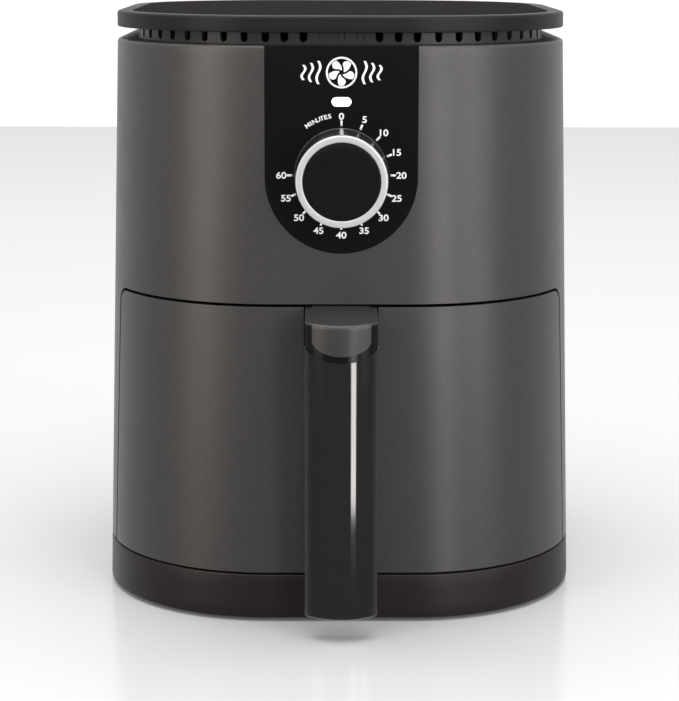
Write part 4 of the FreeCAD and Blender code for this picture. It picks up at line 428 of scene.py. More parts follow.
CAD_FINISHES: dict[str, Finish] = {
    "base_plate": BLACK, "rubber_feet": RUBBER, "base_screws": ZINC, "vent_ring": VENT,
    "rear_hood": HOOD, "rear_grille": HOOD,
    "hood_screws": ZINC, "indicator_board": BOARD, "timer_shaft": GROUND, "timer_plate": BRACKET,
    "timer_screws": ZINC, "timer_case": SHEET, "timer_bell": GROUND, "drawer_carrier": BLACK,
    "crisper_plate": NONSTICK, "crisper_bumpers": SILICONE, "handle_screws": ZINC, "bay_frame": BLACK,
    "chamber_liner": SHEET, "chamber_rails": NYLON, "element_dome": SHEET, "heating_element": SHEATH,
    "element_bushes": CERAMIC, "element_guard": GROUND, "exhaust_duct": SHEET, "convection_fan": SHEET,
    "cooling_fan": BLACK, "motor_shaft": GROUND, "motor_case": BRACKET, "motor_bridge": BRACKET,
    "thermostat": GROUND, "thermal_fuse": GROUND, "terminal_block": NYLON, "cord_gland": RUBBER,
    "switch_body": BLACK, "switch_plunger": RED, "drawer_catches": GROUND, "wiring": SLEEVE,
}


def place(piece: bpy.types.Object, body: str, slot: str, finish: Finish,
          *stands_for: str) -> bpy.types.Object:
    """Dresses a piece, joins it to its body and hides the CAD nodes that it stands for.

    Args:
        piece: the finished object.
        body: the CAD body it moves with.
        slot: the record's material slot; not used.
        finish: its finish.
        *stands_for: CAD nodes that it replaces.

    Returns:
        The piece.
    """
    finish.dress(piece)
    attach(piece, body)
    if stands_for:
        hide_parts(*stands_for)
    LOG.info("%s rides on %s with %d faces", piece.name, body, len(piece.data.polygons))
    return piece


# ---- The body's outline --------------------------------------------------------------------------------
@dataclass
class Stations:
    """Places round an outline, each by side signs, straight-run shares and corner angle."""

    side_x: np.ndarray
    side_y: np.ndarray
    run_x: np.ndarray
    run_y: np.ndarray
    angle: np.ndarray


@dataclass(frozen=True)
class Outline:
    """A rounded rectangle that leans in with height."""

    half_x: float
    half_y: float
    radius: float
    middle_y: float
    draft: float = 0.0

    def centre_x(self, z: np.ndarray) -> np.ndarray:
        """Half the length of the front's straight run at height z."""
        return self.half_x - self.draft * z - self.radius

    def centre_y(self, z: np.ndarray) -> np.ndarray:
        """Half the length of the side's straight run at height z."""
        return self.half_y - self.draft * z - self.radius

    def stations(self, front: int = 8, corner: int = 32, side: int = 8) -> Stations:
        """Places all round, counter-clockwise from above, starting at the middle of the front.

        Args:
            front: steps on half of the front's and rear's straight runs.
            corner: steps round each corner.
            side: steps on half of each side's straight run.

        Returns:
            The stations, as arrays of shape (1, columns).
        """
        run = np.concatenate([np.linspace(0, 1, front, endpoint=False), np.ones(corner + side + 1)])
        turn = np.concatenate([np.zeros(front), np.linspace(0, 90, corner + 1), np.full(side, 90.0)])
        rise = np.concatenate([np.ones(front + corner + 1), np.linspace(1, 0, side + 1)[1:]])
        quarter = len(run)
        order = [(1, -1, slice(0, quarter)), (1, 1, slice(quarter - 2, None, -1)),
                 (-1, 1, slice(1, quarter)), (-1, -1, slice(quarter - 2, 0, -1))]
        parts = [(np.full(len(run[cut]), sx), np.full(len(run[cut]), sy), run[cut], rise[cut], turn[cut])
                 for sx, sy, cut in order]
        joined = [np.concatenate(column).astype(float)[None] for column in zip(*parts)]
        return Stations(joined[0], joined[1], joined[2], joined[3], np.radians(joined[4]))

    def points(self, where: Stations, inset: np.ndarray, z: np.ndarray) -> np.ndarray:
        """Points at stations, moved in by inset, at height z.

        x = side * (run * centre_x + (radius - inset) * sin angle), and y the same with cos angle.

        Args:
            where: stations of shape (1, columns) or (rows, columns).
            inset: (rows,) distances from the outline.
            z: (rows,) heights.

        Returns:
            An array of shape (rows, columns, 3).
        """
        inset, z = np.asarray(inset, float)[:, None], np.asarray(z, float)[:, None]
        reach = self.radius - inset
        x = where.side_x * (where.run_x * self.centre_x(z) + reach * np.sin(where.angle))
        y = self.middle_y + where.side_y * (where.run_y * self.centre_y(z) + reach * np.cos(where.angle))
        return np.stack([x, y, np.broadcast_to(z, x.shape)], axis=-1)

    def front_y(self, x: np.ndarray, z: np.ndarray, inset: float = 0.0) -> np.ndarray:
        """Y of the front surface over (x, z): flat in the middle, round beyond the straight run."""
        beyond = np.clip(np.abs(x) - self.centre_x(z), 0, None)
        reach = self.radius - inset
        return self.middle_y - self.centre_y(z) - np.sqrt(np.maximum(reach ** 2 - beyond ** 2, 0))

    def lofted(self, name: str, profile: Sequence[tuple[float, float]], where: Optional[Stations] = None,
               close: bool = False) -> bpy.types.Object:
        """Carries a profile of (inset, height) points round the outline, closed to a pole if asked.

        Rows past the last profile point shrink towards the middle: point = middle + s * (row - middle).
        """
        line = np.array(profile, float)
        points = self.points(where or self.stations(), line[:, 0], line[:, 1])
        if close:
            middle = np.array([0.0, self.middle_y, line[-1, 1]])
            shares = np.array([0.8, 0.5, 0.2, 0.0])[:, None, None]
            points = np.concatenate([points, middle + shares * (points[-1] - middle)])
        return grid_object(name, points, wrap=True)


@dataclass(frozen=True)
class BodyShape:
    """Sizes that the outer pieces share."""

    width: float = 206.0
    depth: float = 232.0
    corner: float = 72.0
    draft: float = 0.027
    reach: float = 28.0
    hood_reach: float = 20.0
    lid_overhang: float = 0.1
    lid_bottom: float = 245.0
    drawer_top: float = 133.8
    drawer_bottom: float = 21.3
    bay_gap: float = 1.2
    wrap: float = 49.5
    wrap_corner: float = 6.0
    knob_z: float = 187.9

    @property
    def lid_half_y(self) -> float:
        """Half the lid's depth."""
        return self.depth / 2 - self.draft * self.lid_bottom + self.lid_overhang

    @property
    def middle_y(self) -> float:
        """Y of the body's middle, such that the overall box is centred."""
        return (self.depth / 2 + self.reach - self.lid_half_y - self.hood_reach) / 2

    @property
    def front(self) -> float:
        """Y of the front face at the worktop."""
        return self.middle_y - self.depth / 2

    @property
    def outline(self) -> Outline:
        """The body's leaning outline."""
        return Outline(self.width / 2, self.depth / 2, self.corner, self.middle_y, self.draft)

    def wrap_angle(self, z: np.ndarray, gap: float) -> np.ndarray:
        """Corner angle of the drawer front's rear edge at height z, moved out by gap.

        The edge stands at wrap + gap behind the front and bends forward on an arc below its top, so the angle
        is arccos((corner - edge + draft * z) / corner).
        """
        bend = self.wrap_corner + gap
        over = np.clip(z - (self.drawer_top + gap - bend), 0, bend)
        edge = self.wrap + gap - bend + np.sqrt(bend ** 2 - over ** 2)
        return np.arccos((self.corner - edge + self.draft * z) / self.corner)


SHAPE = BodyShape()


# ---- Outer pieces --------------------------------------------------------------------------------------
@dataclass
class Housing:
    """Shell, lid and foot band."""

    shape: BodyShape = SHAPE
    shoulder: float = 240.0
    shoulder_round: float = 1.5
    wall: float = 2.6
    ring_inset: float = 9.1
    band_low: float = 1.5
    band_top: float = 20.4
    lid_top: float = 251.7
    lid_round: float = 1.2
    panel_inset: float = 6.95
    panel_edge: float = 251.85
    panel_top: float = 252.08

    def shell(self) -> bpy.types.Object:
        """The painted shell: columns follow the bay's edge, and the cells in front of it are left out."""
        s, outline = self.shape, self.shape.outline
        bend = s.wrap_corner + s.bay_gap
        high = s.drawer_top + s.bay_gap
        low_rows = np.linspace(s.drawer_bottom, high - bend, 24)[:-1]
        bend_rows = high - bend + bend * np.sin(np.radians(np.linspace(0, 90, 10)))
        top_rows = np.linspace(high, self.shoulder - self.shoulder_round, 26)[1:]
        turn = np.radians(np.linspace(0, 90, 7))[1:]
        round_z = self.shoulder - self.shoulder_round * (1 - np.sin(turn))
        round_in = self.shoulder_round * (1 - np.cos(turn))
        deck_in = np.array([3.0, 6.0, self.ring_inset, self.ring_inset])
        deck_z = np.array([self.shoulder, self.shoulder, self.shoulder, self.shoulder - 2.0])
        z = np.concatenate([low_rows, bend_rows, top_rows, round_z, deck_z])
        inset = np.concatenate([np.zeros(len(z) - len(round_in) - 4), round_in, deck_in])
        where = outline.stations(8, 32, 8)
        columns = where.angle.shape[1]
        share = np.degrees(where.angle) / 90.0
        cut, steps = s.wrap_angle(z, s.bay_gap)[:, None], 24 / 32
        warped = np.where(share <= steps, share / steps * cut,
                          cut + (share - steps) / (1 - steps) * (math.pi / 2 - cut))
        front = np.broadcast_to(where.side_y < 0, share.shape)
        angle = np.where(front, warped, where.angle)
        spread = Stations(where.side_x, where.side_y, where.run_x, where.run_y, angle)
        points = outline.points(spread, inset, z)
        ahead = ((where.side_y < 0) & (share <= steps + 1e-9) & (where.run_y > 0.999))[0]
        in_bay = ahead & np.roll(ahead, -1)
        below = z[:-1] < high - 1e-6
        keep = ~(below[:, None] & in_bay[None, :columns])
        piece = grid_object("shell_outer", points, wrap=True, keep=keep)
        return ease(thicken(piece, self.wall), 0.35)

    def band(self) -> bpy.types.Object:
        """The foot band with its closed deck."""
        r = 0.9
        profile = [(9.0, self.band_low), (3.0, self.band_low), (r, self.band_low)]
        profile += arc_profile((r, self.band_low + r), -r, 90, 0, 4)[1:]
        profile += [(0.0, 8.0), (0.0, 14.0)]
        profile += arc_profile((0.7, self.band_top - 0.7), 0.7, 180, 90, 4)
        profile += [(3.0, self.band_top), (20.0, self.band_top), (50.0, self.band_top)]
        return self.shape.outline.lofted("foot_band", profile, close=True)

    def lid_outline(self) -> Outline:
        """The lid's upright outline."""
        s = self.shape
        half_x = s.width / 2 - s.draft * s.lid_bottom + s.lid_overhang
        return Outline(half_x, s.lid_half_y, s.corner + s.lid_overhang, s.middle_y)

    def lid_rim(self) -> bpy.types.Object:
        """The lid's rim, from its inner lip round the outside to the groove at the top panel."""
        low, high, r = self.shape.lid_bottom, self.lid_top, self.lid_round
        profile = [(2.4, 249.2), (2.4, low + 0.3), (2.1, low), (0.5, low)]
        profile += arc_profile((0.5, low + 0.5), -0.5, 90, 0, 4)[1:]
        profile += [(0.0, 247.5), (0.0, 249.5)]
        profile += arc_profile((r, high - r), r, 180, 90, 6)
        profile += [(3.0, high), (5.0, high), (6.2, high)]
        profile += [(6.4, high - 0.15), (6.4, high - 0.8), (7.6, high - 0.8)]
        return self.lid_outline().lofted("lid_rim", profile)

    def lid_panel(self) -> bpy.types.Object:
        """The lid's inset panel with a rolled edge and a very shallow crown."""
        inset, r = self.panel_inset, 0.45
        profile = [(inset, 250.9), (inset, self.panel_edge - r)]
        profile += arc_profile((inset + r, self.panel_edge - r), r, 180, 90, 4)[1:]
        rise = self.panel_top - self.panel_edge
        crown = ((6, 0.25), (16, 0.55), (32, 0.8))
        profile += [(inset + r + d, self.panel_edge + rise * f) for d, f in crown]
        profile += [(60.0, self.panel_top)]
        return self.lid_outline().lofted("lid_top_panel", profile, close=True)

    def build(self) -> None:
        """Makes and places the housing's pieces."""
        place(self.shell(), "housing", "shell_paint", PAINT, "main_shell")
        place(self.band(), "housing", "band_plastic", BAND, "base_band")
        place(self.lid_rim(), "housing", "lid_plastic", LID_RIM, "lid")
        place(self.lid_panel(), "housing", "lid_panel_paint", LID_TOP, "lid_panel")


@dataclass
class ControlPanel:
    """The glossy facia, its printed dial, the symbol and the lamp window."""

    shape: BodyShape = SHAPE
    half_width: float = 31.1
    low: float = 155.95
    high: float = 239.9
    proud: float = 0.15
    lamp_z: float = 217.5
    lamp_half: float = 3.9
    lamp_radius: float = 1.8
    tick_inner: float = 19.9
    tick_outer: float = 22.1
    tick_width: float = 0.85
    digit_radius: float = 24.35
    digit_size: float = 3.7
    symbol_z: float = 229.2
    symbol_radius: float = 6.3
    symbol_rim: float = 0.75
    letter_widen: float = 1.15
    unit_radius: float = 24.3
    unit_size: float = 2.5
    unit_start: float = -34.3
    unit_end: float = -11.3
    zero_inset: float = 0.55

    def facia(self) -> bpy.types.Object:
        """x = share * half width of the U at height z; y lies on the shell's front, a little proud of it."""
        turn = np.radians(np.linspace(0, 90, 28))
        middle = self.low + self.half_width
        z = np.concatenate([middle - self.half_width * np.cos(turn), np.linspace(middle, self.high, 24)[1:]])
        bottom = np.sqrt(np.maximum(self.half_width ** 2 - (middle - z) ** 2, 0))
        half = np.where(z < middle, bottom, self.half_width)
        share = np.sin(np.radians(np.linspace(-90, 90, 49)))
        x = share[None] * half[:, None]
        y = self.shape.outline.front_y(x, z[:, None], -self.proud)
        piece = grid_object("facia", np.stack([x, y, np.broadcast_to(z[:, None], x.shape)], axis=-1))
        return ease(thicken(piece, 0.6), 0.12, 2, 50)

    def on_panel(self, flat: np.ndarray, lift: float) -> np.ndarray:
        """Carries flat (x, z) points onto the facia's front, lifted off it by lift."""
        x, z = flat[..., 0], flat[..., 1]
        y = self.shape.outline.front_y(x, z, -self.proud - lift)
        return np.stack([x, y, z], axis=-1)

    def dial_place(self, radius: np.ndarray, minutes: np.ndarray) -> np.ndarray:
        """A point of the dial: clockwise from the top by 4.5 degrees a minute."""
        angle = np.radians(4.5 * minutes)
        return np.stack([radius * np.sin(angle), self.shape.knob_z + radius * np.cos(angle)], axis=-1)

    def ticks(self) -> bpy.types.Object:
        """Thirteen short bars, each a quad across its radius."""
        minutes = np.arange(0, 61, 5, dtype=float)
        angle = np.radians(4.5 * minutes)[:, None]
        across = np.stack([np.cos(angle), -np.sin(angle)], axis=-1) * self.tick_width / 2
        inner = self.dial_place(np.full(13, self.tick_inner), minutes)[:, None]
        outer = self.dial_place(np.full(13, self.tick_outer), minutes)[:, None]
        corners = np.concatenate([inner - across, inner + across, outer + across, outer - across], axis=1)
        faces = np.arange(13 * 4).reshape(13, 4)
        piece = mesh_object("dial_ticks", self.on_panel(corners, 0.04).reshape(-1, 3), faces)
        return thicken(piece, 0.05)

    def lettering(self, text: str, size: float, centre: tuple[float, float],
                  turn: float) -> tuple[np.ndarray, list]:
        """Flat outline fill of a short text, turned by turn degrees clockwise and centred on a dial point.

        Args:
            text: digits or a unit.
            size: letter size in millimetres.
            centre: (x, z) of its middle.
            turn: clockwise turn in degrees.

        Returns:
            Flat (x, z) points and the faces between them.
        """
        curve = bpy.data.curves.new("letters", "FONT")
        curve.body, curve.size, curve.align_x, curve.offset = text, size, "CENTER", 0.022 * size
        holder = bpy.data.objects.new("letters", curve)
        mesh = bpy.data.meshes.new_from_object(holder)
        flat = np.zeros(len(mesh.vertices) * 3)
        mesh.vertices.foreach_get("co", flat)
        flat = flat.reshape(-1, 3)[:, :2]
        flat = (flat - (flat.min(0) + flat.max(0)) / 2) * np.array([self.letter_widen, 1.0])
        faces = [list(p.vertices) for p in mesh.polygons]
        bpy.data.objects.remove(holder)
        bpy.data.curves.remove(curve)
        bpy.data.meshes.remove(mesh)
        a = -math.radians(turn)
        spin = np.array([[math.cos(a), math.sin(a)], [-math.sin(a), math.cos(a)]])
        return flat @ spin + np.array(centre), faces

    def printed(self, name: str, pieces: list[tuple[np.ndarray, list]], lift: float) -> bpy.types.Object:
        """Joins flat prints into one thin piece on the facia."""
        points, faces, start = [], [], 0
        for flat, polygons in pieces:
            points.append(self.on_panel(flat, lift))
            faces += [[start + i for i in polygon] for polygon in polygons]
            start += len(flat)
        mesh = bpy.data.meshes.new(name)
        mesh.from_pydata(np.concatenate(points) * MM, [], faces)
        mesh.update()
        piece = bpy.data.objects.new(name, mesh)
        bpy.context.scene.collection.objects.link(piece)
        return piece

    def numerals(self) -> bpy.types.Object:
        """The minute numbers and the unit's name along the dial."""
        made = []
        for minute in range(0, 61, 5):
            radius = self.digit_radius - (self.zero_inset if minute == 0 else 0.0)
            centre = self.dial_place(np.array(radius), np.array(float(minute)))
            made.append(self.lettering(str(minute), self.digit_size, tuple(centre), 0.0))
        for letter, degrees in zip("MINUTES", np.linspace(self.unit_start, self.unit_end, 7)):
            centre = self.dial_place(np.array(self.unit_radius), np.array(degrees / 4.5))
            made.append(self.lettering(letter, self.unit_size, tuple(centre), degrees))
        return self.printed("dial_numerals", made, 0.05)

    def symbol(self) -> bpy.types.Object:
        """A plain fan in a ring between two sets of warm-air waves.

        A blade lies between the curve angle = base + bend * r and the same turned on by its width; a wave is
        x = a * sin(z).
        """
        made = []
        r = np.linspace(0.16, 0.84, 12) * self.symbol_radius
        grid = np.arange(24).reshape(12, 2)
        cells = np.stack([grid[:-1, 0], grid[1:, 0], grid[1:, 1], grid[:-1, 1]], axis=-1).tolist()
        for blade in range(5):
            start = 2 * math.pi * blade / 5 + 0.9 * r / self.symbol_radius
            wide = 0.2 + 0.75 * np.sin(math.pi * np.linspace(0.12, 0.95, 12))
            edges = [np.stack([r * np.cos(a), self.symbol_z + r * np.sin(a)], axis=-1)
                     for a in (start, start + wide)]
            made.append((np.stack(edges, axis=1).reshape(-1, 2), cells))
        angle = np.linspace(0, 2 * math.pi, 65)
        rim = [np.stack([q * np.cos(angle), self.symbol_z + q * np.sin(angle)], axis=-1)
               for q in (self.symbol_radius, self.symbol_radius - self.symbol_rim)]
        loop = np.arange(130).reshape(65, 2)
        ring_cells = np.stack([loop[:-1, 0], loop[1:, 0], loop[1:, 1], loop[:-1, 1]], axis=-1).tolist()
        made.append((np.stack(rim, axis=1).reshape(-1, 2), ring_cells))
        rise = np.linspace(-1, 1, 25)
        wave_grid = np.arange(50).reshape(25, 2)
        wave_cells = np.stack([wave_grid[:-1, 0], wave_grid[:-1, 1], wave_grid[1:, 1], wave_grid[1:, 0]],
                              axis=-1).tolist()
        for place_x, tall in ((9.3, 4.6), (12.3, 3.8), (15.3, 3.0)):
            for side in (-1, 1):
                x = side * place_x + 0.75 * np.sin(rise * math.pi)
                z = self.symbol_z + tall * rise
                edges = [np.stack([x + d, z], axis=-1) for d in (-0.5, 0.5)]
                made.append((np.stack(edges, axis=1).reshape(-1, 2), wave_cells))
        return self.printed("air_symbol", made, 0.05)

    def lamp(self) -> bpy.types.Object:
        """The pill-shaped window: a stadium outline that shrinks to its middle as it rises to a crown."""
        angle = np.linspace(0, 2 * math.pi, 64, endpoint=False)
        run = self.lamp_half - self.lamp_radius
        side = np.stack([np.sign(np.cos(angle)) * run + self.lamp_radius * np.cos(angle),
                         self.lamp_radius * np.sin(angle)], axis=-1)
        share = np.array([1.0, 1.0, 0.97, 0.9, 0.75, 0.5, 0.25, 0.0])[:, None, None]
        lift = np.array([-0.6, 0.05, 0.13, 0.19, 0.23, 0.25, 0.26, 0.26])[:, None]
        flat = side[None] * share + np.array([0.0, self.lamp_z])
        y = self.shape.outline.front_y(flat[..., 0], flat[..., 1], -self.proud) - lift
        points = np.stack([flat[..., 0], y, flat[..., 1]], axis=-1)
        return grid_object("lamp_window", points, wrap=True)

    def build(self) -> None:
        """Makes and places the panel's pieces."""
        place(self.facia(), "housing", "panel_gloss", PANEL, "control_panel")
        place(self.lamp(), "housing", "lens_clear", LENS, "indicator_lens")
        for piece in (self.ticks(), self.numerals(), self.symbol()):
            place(piece, "housing", "knob_ring_bright", INK_PAINTED_GLOW)


@dataclass
class Knob:
    """The timer knob: skirted cup with a bright white bead at its base that is a painted highlight line,
    bright ring with pointer, glossy cap.
    """

    shape: BodyShape = SHAPE
    gap: float = 0.9
    face: float = 24.0
    proud: float = 0.15
    base_radius: float = 19.1
    face_radius: float = 18.3
    ring_inner: float = 15.6
    ring_depth: float = 3.0

    def build(self) -> None:
        """Makes and places the knob's pieces, all turned round one axis towards the cook."""
        s = self.shape
        panel = s.front + s.draft * s.knob_z - self.proud
        centre = np.array([0.0, panel - self.gap, s.knob_z])
        along = np.array([0.0, -1.0, 0.0])
        length = self.face - self.gap
        lip = length - self.ring_depth
        slope = (self.base_radius - self.face_radius) / length
        skirt = [(17.0, 0.5), (17.6, 0.0), (self.base_radius - 0.35, 0.0), (self.base_radius, 0.3),
                 (self.base_radius, 1.3), (self.base_radius - 0.35, 1.7)]
        skirt += [(self.base_radius - 0.35 - slope * h, h) for h in np.linspace(2.4, lip - 0.15, 8)]
        skirt += [(self.face_radius - 0.25, lip - 0.02), (self.ring_inner - 0.4, lip)]
        cup = revolved("knob_cup", skirt, centre, along, 160)
        place(cup, "knob", "knob_plastic", KNOB, "knob_body")
        # A thin bead at the black skirt's base, coloured bright white as a painted highlight line for the
        # light its edge catches.
        base = self.base_radius
        highlight_ring = [(base - 0.5, 0.1), (base - 0.15, 0.0), (base + 0.02, 0.3), (base + 0.02, 1.2)]
        highlight_ring += [(base - 0.35, 1.6)]
        place(revolved("knob_base_painted_highlight", highlight_ring, centre, along, 160), "knob", "knob_ring_bright", RING)
        top, r = length, 0.75
        outer = self.face_radius
        ring = [(self.ring_inner, lip - 0.4), (outer - 0.5, lip - 0.4)]
        ring += arc_profile((outer - 0.3, lip + 0.2), 0.3, -90, 0, 3)
        ring += arc_profile((outer - r, top - r), r, 0, 90, 6)
        ring += arc_profile((self.ring_inner + 0.45, top - 0.45), 0.45, 90, 180, 4)
        ring += [(self.ring_inner, top - 0.9), (self.ring_inner, lip - 0.4)]
        bright = revolved("knob_bright_ring", ring, centre, along, 160)
        place(bright, "knob", "knob_ring_bright", RING, "knob_ring")
        place(self.pointer(centre, length, slope), "knob", "knob_ring_bright", RING)
        low = top - 0.5
        cap = [(self.ring_inner - 0.05, low - 1.2), (self.ring_inner - 0.05, low - 0.3)]
        cap += arc_profile((self.ring_inner - 0.35, low - 0.3), 0.3, 0, 90, 3)[1:]
        cap += [(12.0, low), (7.0, low), (2.5, low), (0.0, low)]
        place(revolved("knob_gloss_cap", cap, centre, along, 160), "knob", "knob_cap_gloss", CAP, "knob_cap")

    def pointer(self, centre: np.ndarray, length: float, slope: float) -> bpy.types.Object:
        """The bar along the top of the skirt: half a rounded section carried along the knob's side."""
        angle = np.radians(np.linspace(0, 180, 13))
        across = 0.83 * np.cos(angle)
        bulge = 0.5 * np.sin(angle) ** 0.6
        h = np.array([0.35, 0.5, 1.0, 5.0, 10.0, 15.0, 19.5, length - 0.6])
        size = np.array([0.2, 0.75, 1.0, 1.0, 1.0, 1.0, 1.0, 1.0])
        radius = self.base_radius - 0.28 - slope * h
        x = across[None] * size[:, None]
        z = centre[2] + radius[:, None] + (bulge[None] * size[:, None])
        y = np.broadcast_to(centre[1] - h[:, None], x.shape)
        return grid_object("knob_pointer", np.stack([x, y, z], axis=-1))


@dataclass
class DrawerFront:
    """The painted drawer skin."""

    shape: BodyShape = SHAPE
    notch_half: float = 15.2
    notch_low: float = 109.4
    wall: float = 2.3

    def build(self) -> None:
        """Columns run from one rear edge round the front to the other; the arm's notch is left out."""
        s, outline = self.shape, self.shape.outline
        bend = s.wrap_corner
        z = np.concatenate([np.linspace(s.drawer_bottom, self.notch_low, 22),
                            np.linspace(self.notch_low, s.drawer_top - bend, 7)[1:],
                            s.drawer_top - bend + bend * np.sin(np.radians(np.linspace(0, 90, 10)))[1:]])
        rows = len(z)
        notch = self.notch_half / outline.centre_x(z)[:, None]
        share = np.linspace(0, 1, 5)[None]
        run = np.concatenate([share * notch, notch + (1 - notch) * share[:, 1:], np.ones((rows, 30))], axis=1)
        wrapped = s.wrap_angle(z, 0.0)[:, None] * np.linspace(0, 1, 31)[None, 1:]
        turn = np.concatenate([np.zeros((rows, 9)), wrapped], axis=1)
        side = np.ones_like(run)
        where = Stations(np.concatenate([-side[:, :0:-1], side], axis=1),
                         -np.ones((rows, 2 * run.shape[1] - 1)),
                         np.concatenate([run[:, :0:-1], run], axis=1),
                         np.ones((rows, 2 * run.shape[1] - 1)),
                         np.concatenate([turn[:, :0:-1], turn], axis=1))
        points = outline.points(where, np.zeros(rows), z)
        middle = run.shape[1] - 1
        columns = np.zeros(points.shape[1] - 1, bool)
        columns[middle - 4:middle + 4] = True
        keep = ~((z[:-1] >= self.notch_low - 1e-6)[:, None] & columns[None])
        piece = grid_object("drawer_skin", points, keep=keep)
        place(ease(thicken(piece, self.wall), 0.4, 3), "drawer", "shell_paint", PAINT, "drawer_front")


@dataclass
class Handle:
    """Grip and arm: a black core, a glossy cover and a painted thumb plate folded over the top."""

    shape: BodyShape = SHAPE
    half: float = 14.8
    crown: float = 6.0
    grip_depth: float = 11.5
    low: float = 9.8
    shelf: float = 134.4
    fold: float = 131.9
    fold_radius: float = 1.8
    arm_low: float = 109.8
    inner_round: float = 7.0
    recess: float = 0.45
    cover_top: float = 116.7
    cover_sag: float = 7.0
    tongue_half: float = 11.8
    tongue_low: float = 119.4
    tongue_sag: float = 6.0

    @property
    def front(self) -> float:
        """Y of the grip's foremost line."""
        return self.shape.front - self.shape.reach

    def crown_y(self, x: np.ndarray, inset: float = 0.0) -> np.ndarray:
        """Y of the crowned front over x: a circle through the middle and both edges."""
        radius = (self.half ** 2 + self.crown ** 2) / (2 * self.crown)
        return self.front + radius - np.sqrt((radius - inset) ** 2 - x ** 2)

    def shelf_z(self, y: np.ndarray) -> np.ndarray:
        """Height of the arm's top over y: a straight line from the fold to the drawer."""
        back = self.shape.front + self.shape.draft * self.shape.drawer_top
        return self.fold + (self.shelf - self.fold) * (y - self.front) / (back - self.front)

    def skin(self, x: np.ndarray, t: np.ndarray, low: np.ndarray, inset: float, back: float) -> np.ndarray:
        """A surface over the arm's top, round the fold and down the front.

        t from 0 to 1 runs along the top from back to the fold, 1 to 2 round the fold's arc and 2 to 3 down to
        low.

        Args:
            x: (columns,) places across.
            t: (rows,) places along.
            low: (columns,) height at which each column ends.
            inset: how far the surface lies inside the handle's outside.
            back: y at which the top begins.

        Returns:
            An array of shape (rows, columns, 3).
        """
        t, x, low = t[:, None], x[None], low[None]
        face = self.crown_y(x, inset)
        r = self.fold_radius - min(inset, 1.0)
        turn_y = face + r
        turn_z = self.shelf_z(turn_y) - inset - r
        top_y = back + (turn_y - back) * np.clip(t, 0, 1)
        angle = np.clip(t - 1, 0, 1) * math.pi / 2
        on_top = np.where(t <= 1, self.shelf_z(top_y) - inset, turn_z + r * np.cos(angle))
        y = np.where(t <= 1, top_y, turn_y - r * np.sin(angle))
        z = np.where(t <= 2, on_top, turn_z + (low - turn_z) * np.clip(t - 2, 0, 1))
        return np.stack([np.broadcast_to(x, y.shape), y, z], axis=-1)

    def tongue(self) -> bpy.types.Object:
        """The thumb plate; its lower edge follows a shallow arc."""
        x = self.tongue_half * np.sin(np.radians(np.linspace(-90, 90, 41)))
        arc = np.sqrt(np.maximum(1 - (x / self.tongue_half) ** 2 * 0.98, 0))
        low = self.tongue_low + self.tongue_sag * (1 - arc)
        t = np.concatenate([np.linspace(0, 1, 8), np.linspace(1, 2, 9)[1:], np.linspace(2, 3, 14)[1:]])
        back = self.shape.front + self.shape.draft * self.shape.drawer_top + 0.3
        piece = grid_object("thumb_plate", self.skin(x, t, low, 0.0, back), flip=True)
        return ease(thicken(piece, 1.4), 0.3, 2, 45)

    def shelf_skin(self) -> bpy.types.Object:
        """The painted top of the arm on both sides of the thumb plate, ending on the fold."""
        x = (self.half - 0.2) * np.sin(np.radians(np.linspace(-90, 90, 33)))
        t = np.concatenate([np.linspace(0, 1, 8), np.linspace(1, 1.5, 5)[1:]])
        back = self.shape.front + self.shape.draft * self.shape.drawer_top + 0.3
        skin = self.skin(x, t, np.full(x.shape, self.tongue_low), 0.3, back)
        return thicken(grid_object("shelf_skin", skin, flip=True), 0.12)

    def cover(self) -> bpy.types.Object:
        """The glossy cover: sides, small round corners and the crowned front, under a sagging upper edge."""
        r = 0.7
        edge = self.front + self.crown
        corner = np.radians(np.linspace(0, 66, 6))
        inner = self.half - r
        x_front = inner * np.sin(np.radians(np.linspace(0, 90, 20)))
        x_half = np.concatenate([x_front, inner + r * np.sin(corner[1:]), np.full(4, self.half)])
        y_front = self.crown_y(x_front)
        y_corner = y_front[-1] + 0.42 * r + r * (1 - np.cos(corner[1:])) * 1.3
        y_side = np.linspace(y_corner[-1] + 0.3, edge + 1.9, 4)
        y_half = np.concatenate([y_front, y_corner, y_side])
        x = np.concatenate([-x_half[:0:-1], x_half])
        y = np.concatenate([y_half[:0:-1], y_half])
        share = np.minimum(np.abs(x) / self.half, 1.0)
        top = self.cover_top + self.cover_sag * (1 - np.sqrt(1 - 0.97 * share ** 2))
        t = np.linspace(0, 1, 30)[:, None]
        turn = np.radians(np.linspace(90, 0, 6))[:-1]
        z = self.low + 1.2 + (top - self.low - 1.2) * t
        bottom_z = np.broadcast_to((self.low + 1.2 - 1.2 * np.sin(turn))[:, None], (5, len(x)))
        shrink = (1.2 * (1 - np.cos(turn)))[:, None]
        low_x = x * (1 - shrink / self.half)
        low_y = y + shrink * (1 - (np.abs(x) / self.half) ** 4)
        rows_x = np.concatenate([low_x, np.broadcast_to(x, z.shape)])
        rows_y = np.concatenate([low_y, np.broadcast_to(y, z.shape)])
        points = np.stack([rows_x, rows_y, np.concatenate([bottom_z, z])], axis=-1)
        piece = grid_object("grip_cover", points)
        return ease(thicken(piece, 1.6), 0.22, 2, 50)

